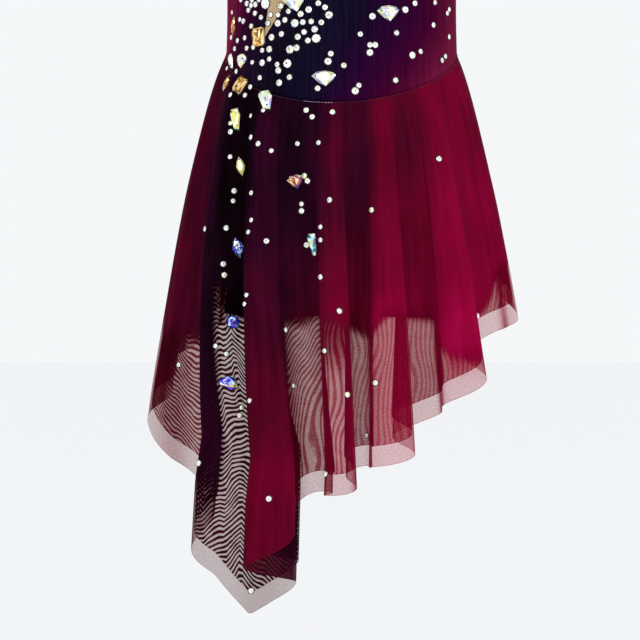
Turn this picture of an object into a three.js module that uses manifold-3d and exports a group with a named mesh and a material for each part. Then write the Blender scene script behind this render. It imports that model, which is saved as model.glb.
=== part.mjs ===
// Figure skating dress: a sleeveless bodice with a nude mesh gore, an asymmetric
// two-layer stretch mesh skirt hanging in deep folds, and short briefs under it.
//
// Millimetres, +Z up, +X to the viewer's right, the front faces -Y. The origin is at
// the middle of the shoulder line, where the dress is held when it is worn.
// Every piece of cloth is one closed wall. Neighbours stay a seam gap apart.

import * as THREE from 'three';
import { mergeVertices } from 'three/addons/utils/BufferGeometryUtils.js';
import Module from 'manifold-3d';

const wasm = await Module();
wasm.setup();

// ---------------------------------------------------------------- driving sizes

const WALL = 1.2;              // cloth thickness of skirt and briefs
const BODICE_WALL = 1.5;       // dyed stretch fabric of the bodice
const SEAM_GAP = 0.3;          // between two pieces that are sewn together
const END_INSET = 0.18;        // each skirt half ends this far short of its side seam
const LAYER_SPREAD = 0.3;      // further gap that opens between the two skirt layers
const LAYER_SPREAD_DROP = 250; // drop at which that gap is fully open
const RING_SIDES = 56;         // sides of the bodice's and briefs' rings

// Half sizes of the filled-out figure at each height. Between rows: a smooth curve.
const BODY = [
  { z: -640, halfWidth: 121.0, halfDepth: 96 },
  { z: -595, halfWidth: 123.0, halfDepth: 98 },
  { z: -500, halfWidth: 123.0, halfDepth: 98 },
  { z: -440, halfWidth: 121.0, halfDepth: 95 },
  { z: -385, halfWidth: 118.0, halfDepth: 90 },
  { z: -340, halfWidth: 114.5, halfDepth: 84.5 },
  { z: -290, halfWidth: 113.5, halfDepth: 80 },
  { z: -220, halfWidth: 117.0, halfDepth: 83 },
  { z: -165, halfWidth: 122.0, halfDepth: 88 },
  { z: -110, halfWidth: 124.0, halfDepth: 84 },
  { z: -60, halfWidth: 121.0, halfDepth: 70 },
  { z: -25, halfWidth: 114.0, halfDepth: 51 },
  { z: -8, halfWidth: 107.0, halfDepth: 34 },
  { z: 0, halfWidth: 100.0, halfDepth: 17 },
];

// The waist seam: a slanted cut, low in front, with a small V and a slight lean.
const SEAM = { side: -341, slant: 38.5, vee: 7.8, lean: 4.4 };

// How far the skirt's crests stand out from the waist at each drop below the seam.
const FLARE = [
  { drop: 0, reach: 0 },
  { drop: 20, reach: 9 },
  { drop: 45, reach: 17.5 },
  { drop: 85, reach: 28.5 },
  { drop: 145, reach: 43 },
  { drop: 245, reach: 62 },
  { drop: 365, reach: 82 },
  { drop: 540, reach: 100 },
];
const FLARE_DEPTH = 0.85;      // the flare front to back, as a share of side to side

// One row a fold. The azimuth is 0 at the front and grows towards +X. A fold is a crest
// whose left and right edges can stand out over a tuck, and the valley that follows it.
//   seam, hem      azimuth of the crest at the seam and at the full fold
//   proud          how far the crest stands out of the flare
//   edgeL, tuckL   offsets of the left edge and of the tuck under it, to the left
//   edgeR, tuckR   the same on the right, to the right
//   drop           cloth length at the crest
//   vSeam, vHem, vDepth, vDrop   azimuths, depth and cloth length of the valley
const FOLDS = [
  ['seam', 'hem', 'proud', 'edgeL', 'tuckL', 'edgeR', 'tuckR', 'drop',
    'vSeam', 'vHem', 'vDepth', 'vDrop'],
  [-90, -84, 0, 16, 6, 24, 34, 366, -74, -48, 38, 408],
  [-62, -35, -3, 42, 3, 24, 42, 484, -50, -10.5, 48, 482],
  [-38, -20, 12, 32, -4, 30, 10, 443, -21, -9.5, 46, 376],
  [-4, -0.5, 0, 23, -2, 23, -4, 376, 6, 6.2, 46, 352],
  [17, 14.3, 0, 30, 12, 38, -22, 352, 29, 32, 44, 316],
  [40, 41, 0, 35, 18, 42, -26, 298, 60, 62, 34, 256],
  [76, 82, 0, 20, 10, 18, 8, 256, 90, 95, 30, 236],
  [104, 106, 0, 20, 8, 20, 8, 228, 116, 119, 32, 252],
  [129, 131, 0, 20, 8, 20, 8, 286, 142, 144, 34, 294],
  [156, 157, 0, 20, 8, 20, 8, 300, 168, 169, 34, 298],
  [181, 181, 0, 20, 8, 20, 8, 298, 193, 193, 34, 298],
  [205, 206, 0, 20, 8, 20, 8, 300, 217, 218, 34, 300],
  [229, 230, 0, 20, 8, 20, 8, 306, 241, 242, 32, 312],
  [250, 253, 0, 18, 9, 14, 8, 324, 260, 266, 28, 344],
];
const FOLD_COUNT = FOLDS.length - 1;
const KNOTS_PER_FOLD = 6;      // crest, right edge, right tuck, valley, left tuck, left edge
const FULL_FOLD_DROP = 350;    // drop at which a fold has its full table sizes
const FOLD_GROWTH_LIMIT = 1.12;
const EDGE_DEPTH = 0.2;        // depth of an edge, as a share of the valley's
const TUCK_DEPTH = 0.58;       // depth of a tuck, as a share of the valley's
const SIDEWAYS_GROWTH = 1.1;   // power by which the folds spread sideways with the drop
const INWARD_GROWTH = 0.85;    // power by which the folds deepen with the drop
const SIDE_FOLD_TURN = 0.45;   // turns the side folds' depth from inward to front-back

// The long corner of the cut: a point in the hem, at this fold coordinate. The extra
// length fades out over `before` and `after`, in fold coordinates.
const CORNER = { fold: 1.19, extra: 31, before: 0.2, after: 0.31 };

// Where the skirt's columns stand within a fold, and its rows along the cloth.
const FRONT_STATIONS = [0, 0.08, 0.15, 0.22, 0.33, 0.5, 0.66, 0.75, 0.84, 0.93];
const BACK_STATIONS = [0, 0.12, 0.22, 0.36, 0.5, 0.64, 0.78, 0.88];
const EXTRA_STATIONS = [CORNER.fold, 1.42, 1.57];  // at the corner and in a tight turn
const LEFT_SEAM_FOLD = 0;      // fold coordinate of the left side seam
const RIGHT_SEAM_FOLD = 6.5;   // fold coordinate of the right side seam
const ROWS = [0, 0.06, 0.15, 0.27, 0.42, 0.6, 0.8];
const INNER_HEM_RISE = 20;     // the inner layer is this much shorter at the hem

// Bodice openings.
const NECK = { halfWidth: 54, frontDepth: 96, backDepth: 150, straight: 0.25 };
const ARMHOLE = { inner: 84, bottom: 150, halfDepth: 60, straight: 0.6 };
const SCOOP_SEGMENTS = 8;      // segments of each of the two curves of an opening
// The gore of nude mesh: its outline in the front view, from its point upwards.
const GORE = {
  point: [-76, -326],
  left: [[-71, -290], [-60, -235], [-46, -170], [-38, -60]],
  right: [[34, -60], [20, -150], [-16, -222], [-54, -290]],
  tipGrowth: 5,                // the point moves by this many times the sideways growth
  segments: 3,                 // segments of each stretch of the outline
};

// Briefs: they follow the figure to the hip line, then close in to the crotch, and two
// short legs pass through that.
const BRIEF_INSET = 3.1;       // the briefs lie this far inside the figure's surface
const HIP_LINE = -500;
const HIP_LEVELS = [0, 0.5, 1];
const HIP_RINGS = [
  { z: -540, halfWidth: 117.5, halfDepth: 91 },
  { z: -565, halfWidth: 113, halfDepth: 84 },
];
const LEG = { top: -515, bottom: -597, centre: 60.5, halfWidth: 57, halfDepth: 76, sides: 28 };

// Small steps for directions, in fold coordinates and in shares of the cloth's length.
const END_STEP = 0.08;
const DOWN_STEP = 0.01;
const SEAM_STEP = 0.02;
const LEAST_COLUMN_STEP = 0.05;

// Cutting bodies reach past the dress by this much, and cut hollows by this overrun.
const REACH = 200;
const LENGTH_REACH = 1000;
const OVERRUN = 20;

// Colours.
const COLOUR = {
  bodice: 0x2a0c2c, gore: 0xb09d7b, skirt: 0x6d1035, skirtInner: 0x551033, brief: 0x14060f,
};

// ---------------------------------------------------------------- small mathematics

const radians = (degrees) => (degrees * Math.PI) / 180;
const lerp = (a, b, f) => a + (b - a) * f;

// A monotone cubic through a table's rows.
function smooth(rows, key, value, at) {
  const x = rows.map((row) => row[key]);
  const y = rows.map((row) => row[value]);
  const slope = x.slice(1).map((next, i) => (y[i + 1] - y[i]) / (next - x[i]));
  const tangent = y.map((_, i) => {
    if (i === 0) return slope[0];
    if (i === slope.length) return slope[i - 1];
    const product = slope[i - 1] * slope[i];
    return product <= 0 ? 0 : (2 * product) / (slope[i - 1] + slope[i]);
  });
  const clamped = Math.min(Math.max(at, x[0]), x[x.length - 1]);
  let k = 0;
  while (k < slope.length - 1 && clamped >= x[k + 1]) k += 1;
  const h = x[k + 1] - x[k];
  const t = (clamped - x[k]) / h;
  return y[k] * (1 + 2 * t) * (1 - t) ** 2 + y[k + 1] * t * t * (3 - 2 * t)
    + h * tangent[k] * t * (1 - t) ** 2 - h * tangent[k + 1] * t * t * (1 - t);
}

// A closed uniform cubic B-spline. `turn` is what the values gain in one round.
function closedSpline(values, at, turn = 0) {
  const count = values.length;
  const cell = Math.floor(at);
  const t = at - cell;
  const value = (i) => values[((i % count) + count) % count] + turn * Math.floor(i / count);
  return ((1 - t) ** 3 * value(cell - 1)
    + (3 * t ** 3 - 6 * t * t + 4) * value(cell)
    + (-3 * t ** 3 + 3 * t * t + 3 * t + 1) * value(cell + 1)
    + t ** 3 * value(cell + 2)) / 6;
}

const bodyWidth = (z) => smooth(BODY, 'z', 'halfWidth', z);
const bodyDepth = (z) => smooth(BODY, 'z', 'halfDepth', z);

function seamHeight(azimuth) {
  const c = Math.cos(azimuth);
  return SEAM.side - SEAM.slant * c - SEAM.vee * c * c + SEAM.lean * Math.sin(azimuth) * c;
}

// ---------------------------------------------------------------- the skirt's surface

const folds = FOLDS.slice(1).map((row) => (
  Object.fromEntries(row.map((value, i) => [FOLDS[0][i], value]))));

// The six knots of each fold, as closed lists for the splines.
function foldKnots() {
  const knots = { seam: [], hem: [], sideways: [], inward: [], drop: [] };
  const add = (seam, hem, sideways, inward, drop) => {
    knots.seam.push(seam);
    knots.hem.push(hem);
    knots.sideways.push(sideways);
    knots.inward.push(inward);
    knots.drop.push(drop);
  };
  folds.forEach((fold, index) => {
    const last = index === FOLD_COUNT - 1;
    const next = folds[(index + 1) % FOLD_COUNT];
    const turn = last ? 360 : 0;
    add(fold.seam, fold.hem, 0, -fold.proud, fold.drop);
    [[fold.edgeR, EDGE_DEPTH], [fold.tuckR, TUCK_DEPTH]].forEach(([offset, share], step) => {
      const f = (step + 1) / 3;
      add(lerp(fold.seam, fold.vSeam, f), fold.hem, offset,
        share * fold.vDepth - fold.proud, lerp(fold.drop, fold.vDrop, f));
    });
    add(fold.vSeam, fold.vHem, 0, fold.vDepth, fold.vDrop);
    [[next.tuckL, TUCK_DEPTH], [next.edgeL, EDGE_DEPTH]].forEach(([offset, share], step) => {
      const f = (step + 1) / 3;
      add(lerp(fold.vSeam, next.seam + turn, f), next.hem + turn, -offset,
        share * fold.vDepth - next.proud, lerp(fold.vDrop, next.drop, f));
    });
  });
  return knots;
}
const KNOTS = foldKnots();

// Length of the cloth from the seam to the hem.
function clothLength(fold) {
  const away = fold - CORNER.fold;
  const share = 1 - Math.max(-away / CORNER.before, away / CORNER.after);
  return closedSpline(KNOTS.drop, fold * KNOTS_PER_FOLD) + CORNER.extra * Math.max(share, 0);
}

// A point of the skirt: `fold` counts round the skirt, `down` runs from 0 at the seam to
// 1 at the hem. The flare is an ellipse, and the fold's knots move the point inwards and
// sideways from it by amounts that grow with the drop.
function skirtPoint(fold, down) {
  const at = fold * KNOTS_PER_FOLD;
  const seamAzimuth = closedSpline(KNOTS.seam, at, 360);
  const hemAzimuth = closedSpline(KNOTS.hem, at, 360);
  const drop = down * clothLength(fold);
  const share = drop / FULL_FOLD_DROP;
  const azimuth = radians(lerp(seamAzimuth, hemAzimuth, Math.min(share, 1)));
  const seamZ = seamHeight(radians(seamAzimuth));
  const reach = smooth(FLARE, 'drop', 'reach', drop);
  const halfWidth = bodyWidth(seamZ) + reach;
  const halfDepth = bodyDepth(seamZ) + FLARE_DEPTH * reach;
  const growth = Math.min(share, FOLD_GROWTH_LIMIT);
  const inX = -SIDE_FOLD_TURN * Math.sin(azimuth);
  const inY = Math.cos(azimuth);
  const length = Math.hypot(inX, inY);
  const inward = (closedSpline(KNOTS.inward, at) * growth ** INWARD_GROWTH) / length;
  const sideways = (closedSpline(KNOTS.sideways, at) * growth ** SIDEWAYS_GROWTH) / length;
  return new THREE.Vector3(
    halfWidth * Math.sin(azimuth) + inX * inward + inY * sideways,
    -halfDepth * Math.cos(azimuth) + inY * inward - inX * sideways,
    seamZ - drop,
  );
}

// Fold coordinates of the columns between two side seams.
function columnsBetween(from, to) {
  const columns = [];
  for (let fold = Math.floor(from); fold <= Math.ceil(to); fold += 1) {
    const front = fold % FOLD_COUNT <= RIGHT_SEAM_FOLD;
    (front ? FRONT_STATIONS : BACK_STATIONS).forEach((f) => columns.push(fold + f));
  }
  const inside = columns.concat(EXTRA_STATIONS)
    .filter((c) => c > from + LEAST_COLUMN_STEP && c < to - LEAST_COLUMN_STEP);
  return [from, ...inside.sort((a, b) => a - b), to];
}

// The outward direction at a grid point, square to the chord of its two neighbours.
function skirtNormal(columns, index, down) {
  const before = columns[Math.max(index - 1, 0)] - (index === 0 ? END_STEP : 0);
  const last = columns.length - 1;
  const after = columns[Math.min(index + 1, last)] + (index === last ? END_STEP : 0);
  const across = skirtPoint(after, down).sub(skirtPoint(before, down));
  const along = skirtPoint(columns[index], Math.min(down + DOWN_STEP, 1))
    .sub(skirtPoint(columns[index], Math.max(down - DOWN_STEP, 0)));
  return along.cross(across).normalize();
}

// ---------------------------------------------------------------- solids

function geometryOf(points, triangles) {
  const geometry = new THREE.BufferGeometry();
  geometry.setAttribute('position', new THREE.Float32BufferAttribute(
    points.flatMap((p) => [p.x, p.y, p.z]), 3));
  geometry.setIndex(triangles.flat());
  geometry.computeVertexNormals();
  return geometry;
}

// A closed wall between an outer and an inner grid of points, rows from the top down and
// columns from left to right as seen from outside.
function wallSolid(outer, inner) {
  const rows = outer.length;
  const columns = outer[0].length;
  const points = [...outer.flat(), ...inner.flat()];
  const out = (r, c) => r * columns + c;
  const inn = (r, c) => rows * columns + r * columns + c;
  const triangles = [];
  const quad = (a, b, c, d) => triangles.push([a, b, c], [a, c, d]);
  for (let r = 0; r < rows - 1; r += 1) {
    for (let c = 0; c < columns - 1; c += 1) {
      quad(out(r, c), out(r + 1, c), out(r + 1, c + 1), out(r, c + 1));
      quad(inn(r, c), inn(r, c + 1), inn(r + 1, c + 1), inn(r + 1, c));
    }
  }
  for (let c = 0; c < columns - 1; c += 1) {
    quad(out(0, c), out(0, c + 1), inn(0, c + 1), inn(0, c));
    quad(out(rows - 1, c + 1), out(rows - 1, c), inn(rows - 1, c), inn(rows - 1, c + 1));
  }
  for (let r = 0; r < rows - 1; r += 1) {
    quad(out(r + 1, 0), out(r, 0), inn(r, 0), inn(r + 1, 0));
    const end = columns - 1;
    quad(out(r, end), out(r + 1, end), inn(r + 1, end), inn(r, end));
  }
  return geometryOf(points, triangles);
}

// One half of one skirt layer. Both layers stand on the same grid, so that their facets
// stay parallel. The outer layer has one more row, for the hem that shows below the inner.
function skirtLayer(from, to, { inner }) {
  const columns = columnsBetween(from, to);
  const ends = inner ? [INNER_HEM_RISE] : [INNER_HEM_RISE, 0];
  const surface = (extra) => [...ROWS, ...ends].map((row, rank) => columns.map((column, index) => {
    const length = clothLength(column);
    const down = rank < ROWS.length ? row : 1 - row / length;
    const spread = LAYER_SPREAD * Math.min((down * length) / LAYER_SPREAD_DROP, 1);
    const under = (inner ? WALL + SEAM_GAP + spread : 0) + extra;
    const normal = skirtNormal(columns, index, down);
    const point = skirtPoint(column, down).addScaledVector(normal, -under);
    if (rank === 0) point.z = skirtPoint(column, 0).z;
    const end = (index === 0 ? 1 : 0) - (index === columns.length - 1 ? 1 : 0);
    if (end !== 0) {
      const step = skirtPoint(column + SEAM_STEP * end, down).sub(skirtPoint(column, down));
      point.addScaledVector(step.normalize(), END_INSET);
    }
    return point;
  }));
  return wallSolid(surface(0), surface(WALL));
}

// A closed loft through rings. Each ring is a list of points, counter-clockwise from above.
function loftSolid(rings) {
  const sides = rings[0].length;
  const points = rings.flat();
  const middle = (ring) => ring.reduce((sum, p) => sum.add(p), new THREE.Vector3())
    .multiplyScalar(1 / sides);
  const bottom = points.length;
  const top = bottom + 1;
  points.push(middle(rings[0]), middle(rings[rings.length - 1]));
  const triangles = [];
  for (let s = 0; s < sides; s += 1) {
    const next = (s + 1) % sides;
    triangles.push([bottom, next, s]);
    triangles.push([top, (rings.length - 1) * sides + s, (rings.length - 1) * sides + next]);
    for (let r = 0; r < rings.length - 1; r += 1) {
      const a = r * sides;
      const b = a + sides;
      triangles.push([a + s, a + next, b + next], [a + s, b + next, b + s]);
    }
  }
  return geometryOf(points, triangles);
}

// A ring round the figure. `height` gives its z from the azimuth.
function bodyRing(height, inset, sides = RING_SIDES) {
  return Array.from({ length: sides }, (_, side) => {
    const azimuth = (side / sides) * 2 * Math.PI;
    const z = height(azimuth);
    return new THREE.Vector3(
      (bodyWidth(z) - inset) * Math.sin(azimuth), -(bodyDepth(z) - inset) * Math.cos(azimuth), z);
  });
}

function ellipseRing(centreX, halfWidth, halfDepth, z, sides) {
  return Array.from({ length: sides }, (_, side) => {
    const angle = (side / sides) * 2 * Math.PI;
    return new THREE.Vector3(
      centreX + halfWidth * Math.sin(angle), -halfDepth * Math.cos(angle), z);
  });
}

function toManifold(geometry) {
  const bare = geometry.clone();
  bare.deleteAttribute('normal');
  bare.deleteAttribute('uv');
  const merged = mergeVertices(bare, 1e-4);
  return new wasm.Manifold(new wasm.Mesh({
    numProp: 3,
    vertProperties: new Float32Array(merged.attributes.position.array),
    triVerts: new Uint32Array(merged.index.array),
  }));
}

function fromManifold(solid) {
  const mesh = solid.getMesh();
  const geometry = new THREE.BufferGeometry();
  geometry.setAttribute('position', new THREE.BufferAttribute(mesh.vertProperties, 3));
  geometry.setIndex(new THREE.BufferAttribute(mesh.triVerts, 1));
  geometry.computeVertexNormals();
  return geometry;
}

const boxSolid = (low, high) => toManifold(new THREE.BoxGeometry(
  high[0] - low[0], high[1] - low[1], high[2] - low[2]).translate(
  (low[0] + high[0]) / 2, (low[1] + high[1]) / 2, (low[2] + high[2]) / 2));

// The halves of a solid in front of and behind the side seams.
const frontOf = (solid) => solid.intersect(
  boxSolid([-REACH, -REACH, -LENGTH_REACH], [REACH, -SEAM_GAP / 2, REACH]));
const backOf = (solid) => solid.intersect(
  boxSolid([-REACH, SEAM_GAP / 2, -LENGTH_REACH], [REACH, REACH, REACH]));

// A prism of a front-view outline (x, z), between two depths.
function frontPrism(shape, nearY, farY, segments) {
  const geometry = new THREE.ExtrudeGeometry(shape, {
    depth: farY - nearY, bevelEnabled: false, curveSegments: segments,
  });
  return toManifold(geometry.rotateX(Math.PI / 2).translate(0, farY, 0));
}

// A prism of a side-view outline (y, z), between two widths.
function sidePrism(shape, fromX, toX, segments) {
  const geometry = new THREE.ExtrudeGeometry(shape, {
    depth: toX - fromX, bevelEnabled: false, curveSegments: segments,
  });
  return toManifold(geometry.rotateY(Math.PI / 2).rotateX(Math.PI / 2).translate(fromX, 0, 0));
}

// ---------------------------------------------------------------- bodice

const BODICE_LEVELS = [0, 0.15, 0.32, 0.5, 0.68, 0.82, 0.92, 0.975, 1];

// The closed torso from the waist seam up to the shoulders, drawn in by `inset`. Its
// lowest ring is `overrun` below the seam.
function torso(inset, overrun) {
  return toManifold(loftSolid(BODICE_LEVELS.map((level) => bodyRing((azimuth) => {
    const lowest = seamHeight(azimuth) + SEAM_GAP - (level === 0 ? overrun : 0);
    return lerp(lowest, -inset, level);
  }, inset))));
}

// A U-shaped outline, open at the shoulders: straight sides down to `straight` of its
// depth, then two quadratic curves that meet at the bottom.
function scoop(halfWidth, depth, straight) {
  const shape = new THREE.Shape();
  shape.moveTo(-halfWidth, OVERRUN);
  shape.lineTo(-halfWidth, -depth * straight);
  shape.quadraticCurveTo(-halfWidth, -depth, 0, -depth);
  shape.quadraticCurveTo(halfWidth, -depth, halfWidth, -depth * straight);
  shape.lineTo(halfWidth, OVERRUN);
  shape.closePath();
  return shape;
}

function armholeCutter(side) {
  const shape = scoop(ARMHOLE.halfDepth, ARMHOLE.bottom, ARMHOLE.straight);
  const near = Math.min(side * ARMHOLE.inner, side * REACH);
  return sidePrism(shape, near, near + REACH - ARMHOLE.inner, SCOOP_SEGMENTS);
}

function neckCutter(depth, nearY, farY) {
  return frontPrism(scoop(NECK.halfWidth, depth, NECK.straight), nearY, farY, SCOOP_SEGMENTS);
}

// The gore's outline, grown by `grow` sideways and by several times that at its point.
function gorePrism(grow) {
  const lowLeft = GORE.left[0];
  const lowRight = GORE.right[GORE.right.length - 1];
  const axis = new THREE.Vector2((lowLeft[0] + lowRight[0]) / 2, lowLeft[1])
    .sub(new THREE.Vector2(...GORE.point)).normalize();
  const tip = new THREE.Vector2(...GORE.point).addScaledVector(axis, -grow * GORE.tipGrowth);
  const right = [...GORE.right].reverse().map(([x, z]) => new THREE.Vector2(x + grow, z));
  const left = [...GORE.left].reverse().map(([x, z]) => new THREE.Vector2(x - grow, z));
  const shape = new THREE.Shape();
  shape.moveTo(tip.x, tip.y);
  shape.lineTo(right[0].x, right[0].y);
  shape.splineThru(right.slice(1));
  shape.lineTo(left[0].x, left[0].y);
  shape.splineThru(left.slice(1));
  shape.closePath();
  return frontPrism(shape, -REACH, 0, GORE.segments);
}

function bodicePieces() {
  const shell = torso(0, 0).subtract(torso(BODICE_WALL, OVERRUN))
    .subtract(armholeCutter(-1)).subtract(armholeCutter(1));
  const half = SEAM_GAP / 2;
  const whole = frontOf(shell).subtract(neckCutter(NECK.frontDepth, -REACH, OVERRUN));
  return {
    front: whole.subtract(gorePrism(half)),
    back: backOf(shell).subtract(neckCutter(NECK.backDepth, -OVERRUN, REACH)),
    gore: whole.intersect(gorePrism(-half)),
  };
}

// ---------------------------------------------------------------- briefs

// The closed hip shape from the crotch up to the waist seam, drawn in by `inset`, raised
// by `rise` at the seam.
function hips(inset, rise) {
  const lower = [...HIP_RINGS].reverse().map((ring, index) => ellipseRing(
    0, ring.halfWidth - inset, ring.halfDepth - inset, ring.z + (index === 0 ? inset : 0),
    RING_SIDES));
  const upper = HIP_LEVELS.map((level) => bodyRing(
    (azimuth) => lerp(HIP_LINE, seamHeight(azimuth) + rise, level), BRIEF_INSET + inset));
  return toManifold(loftSolid([...lower, ...upper]));
}

function leg(side, inset, overrun) {
  const ring = (z) => ellipseRing(
    side * LEG.centre, LEG.halfWidth - inset, LEG.halfDepth - inset, z, LEG.sides);
  return toManifold(loftSolid([ring(LEG.bottom - overrun), ring(LEG.top)]));
}

function briefPieces() {
  const outer = hips(0, 0).add(leg(-1, 0, 0)).add(leg(1, 0, 0));
  const hollow = hips(WALL, OVERRUN).add(leg(-1, WALL, OVERRUN)).add(leg(1, WALL, OVERRUN));
  const shell = outer.subtract(hollow);
  return { front: frontOf(shell), back: backOf(shell) };
}

// ---------------------------------------------------------------- the dress

function clothMaterial(color, extra = {}) {
  return new THREE.MeshStandardMaterial({ color, roughness: 0.75, metalness: 0, ...extra });
}

const dress = new THREE.Group();
dress.name = 'figure_skating_dress';

function addPiece(name, geometry, material) {
  const mesh = new THREE.Mesh(geometry, material);
  mesh.name = name;
  dress.add(mesh);
}

const bodice = bodicePieces();
addPiece('bodice_front', fromManifold(bodice.front), clothMaterial(COLOUR.bodice));
addPiece('bodice_back', fromManifold(bodice.back), clothMaterial(COLOUR.bodice));
addPiece('bodice_gore', fromManifold(bodice.gore), clothMaterial(COLOUR.gore));

const skirtHalves = [
  ['front', LEFT_SEAM_FOLD, RIGHT_SEAM_FOLD],
  ['back', RIGHT_SEAM_FOLD, LEFT_SEAM_FOLD + FOLD_COUNT],
];
skirtHalves.forEach(([half, from, to]) => {
  addPiece(`skirt_outer_${half}`, skirtLayer(from, to, { inner: false }),
    clothMaterial(COLOUR.skirt, { roughness: 0.6 }));
  addPiece(`skirt_inner_${half}`, skirtLayer(from, to, { inner: true }),
    clothMaterial(COLOUR.skirtInner, { roughness: 0.6 }));
});

const briefs = briefPieces();
addPiece('brief_front', fromManifold(briefs.front), clothMaterial(COLOUR.brief));
addPiece('brief_back', fromManifold(briefs.back), clothMaterial(COLOUR.brief));

export default dress;
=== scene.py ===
"""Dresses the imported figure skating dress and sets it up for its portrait.

The tables hold millimetres, as a pattern maker writes them, and `put_mesh` turns them into
metres. +Z is up, the front faces -Y, +X is the short side of the hem, and the origin is in
the middle of the shoulder line. The dress keeps the hollow form it has when it is worn.
"""

import logging
import math
from dataclasses import dataclass, field
from enum import Enum
from typing import Any, Callable, NamedTuple, Sequence

import bmesh
import bpy
import numpy as np
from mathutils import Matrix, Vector
from mathutils.bvhtree import BVHTree


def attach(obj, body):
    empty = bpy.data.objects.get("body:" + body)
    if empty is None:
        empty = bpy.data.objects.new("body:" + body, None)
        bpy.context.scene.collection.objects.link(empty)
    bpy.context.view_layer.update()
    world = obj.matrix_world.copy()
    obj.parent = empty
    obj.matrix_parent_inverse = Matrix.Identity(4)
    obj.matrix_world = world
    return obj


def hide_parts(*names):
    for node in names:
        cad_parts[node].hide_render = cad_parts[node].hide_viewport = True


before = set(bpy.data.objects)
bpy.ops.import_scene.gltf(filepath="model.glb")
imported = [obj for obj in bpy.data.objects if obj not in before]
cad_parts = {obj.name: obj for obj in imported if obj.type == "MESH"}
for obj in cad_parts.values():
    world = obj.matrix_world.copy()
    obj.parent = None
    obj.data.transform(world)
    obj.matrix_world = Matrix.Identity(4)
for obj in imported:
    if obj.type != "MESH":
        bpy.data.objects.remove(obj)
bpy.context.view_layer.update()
LOG = logging.getLogger("dress")

MM = 0.001
BODY = "root"
NOISE_SPAN = {1: 0.3, 2: 0.7}  # a MapRange's input range for what a noise texture gives
WAVE_PERIOD = 0.31  # of a wave texture at scale 1
KNOTS = 6  # spline knots in a fold

Array = np.ndarray
Colour = tuple[float, float, float, float]
Stops = tuple[tuple[float, str], ...]
Pieces = dict[str, bpy.types.Object]
Edges = Callable[[Array], tuple[Array, Array]]


# ------------------------------------------------------------------ small tools


def linear(code: str) -> Colour:
    """Turns an sRGB hex colour such as "#6d1035" into linear red, green, blue and alpha."""
    values = [int(code[i : i + 2], 16) / 255 for i in (1, 3, 5)]
    parts = [v / 12.92 if v <= 0.04045 else ((v + 0.055) / 1.055) ** 2.4 for v in values]
    return (*parts, 1.0)


def add_node(tree: bpy.types.NodeTree, kind: str, feeds: dict | None = None, **settings: Any):
    """Adds a shader node with its settings and links.

    Args:
        tree: The node tree that takes the node.
        kind: The node's type, without the "ShaderNode" in front.
        feeds: What goes into each input, by its name or number: a value, an output, or a
            node, which stands for its first output.
        settings: The node's own settings. `stops` are a ramp's (place, hex) pairs.

    Returns:
        The new node.
    """
    node = tree.nodes.new("ShaderNode" + kind)
    stops = settings.pop("stops", ())
    for name, value in settings.items():
        setattr(node, name, value)
    for index, (place, code) in enumerate(stops):
        marks = node.color_ramp.elements
        mark = marks[index] if index < len(marks) else marks.new(place)
        mark.position, mark.color = place, linear(code)
    for name, value in (feeds or {}).items():
        value = value.outputs[0] if isinstance(value, bpy.types.Node) else value
        if isinstance(value, bpy.types.NodeSocket):
            tree.links.new(value, node.inputs[name])
        else:
            node.inputs[name].default_value = value
    return node


def monotone(places: Sequence[float], values: Sequence[float], at: Array) -> Array:
    """Runs a monotone cubic through a table.

    Each row's tangent is the harmonic mean of the slopes beside it, or zero where the
    slopes have opposite signs, and between rows the curve is a cubic Hermite.

    Args:
        places: The rows' places, growing.
        values: The rows' values.
        at: The places asked for, held inside the table.

    Returns:
        The values there.
    """
    x, y = np.asarray(places, float), np.asarray(values, float)
    step = np.diff(x)
    slope = np.diff(y) / step
    product = slope[:-1] * slope[1:]
    total = np.where(product > 0, slope[:-1] + slope[1:], 1.0)
    inner = np.where(product > 0, 2 * product / total, 0.0)
    tangent = np.concatenate([slope[:1], inner, slope[-1:]])
    held = np.clip(at, x[0], x[-1])
    k = np.clip(np.searchsorted(x, held, side="right") - 1, 0, len(step) - 1)
    t = (held - x[k]) / step[k]
    start = y[k] * (1 + 2 * t) * (1 - t) ** 2 + step[k] * tangent[k] * t * (1 - t) ** 2
    end = y[k + 1] * t * t * (3 - 2 * t) - step[k] * tangent[k + 1] * t * t * (1 - t)
    return start + end


def closed_spline(values: Array, at: Array, turn: float = 0.0) -> Array:
    """Runs a closed uniform cubic B-spline over a list of knots.

    Args:
        values: The knots' values.
        at: Places counted in knots.
        turn: What the values gain in one round.

    Returns:
        The smoothed values.
    """
    cell = np.floor(at).astype(int)
    t = at - cell
    a, b, c, d = (
        values[np.mod(cell + k, len(values))] + turn * np.floor_divide(cell + k, len(values))
        for k in (-1, 0, 1, 2)
    )
    first = (1 - t) ** 3 * a + (3 * t**3 - 6 * t * t + 4) * b
    return (first + (-3 * t**3 + 3 * t * t + 3 * t + 1) * c + t**3 * d) / 6


def smoothstep(value: Array) -> Array:
    """Eases a share from 0 to 1: three times its square less twice its cube."""
    held = np.clip(value, 0.0, 1.0)
    return held * held * (3 - 2 * held)


def unit(vectors: Array) -> Array:
    """Scales vectors to length one."""
    return vectors / np.maximum(np.linalg.norm(vectors, axis=-1, keepdims=True), 1e-9)


def wobble(across: Array, along: Array, seed: float) -> Array:
    """Smooth unevenness: five sines that cross each other, together from about -1 to 1."""
    total = 0.0 * (across + along)
    for step in range(1, 6):
        angle = 2.4 * step + seed
        wave = across * math.cos(angle) + along * math.sin(angle)
        total = total + np.sin(2 * np.pi * wave * (0.6 + 0.25 * step) + 1.7 * step * seed) / step
    return total / 1.8


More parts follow.
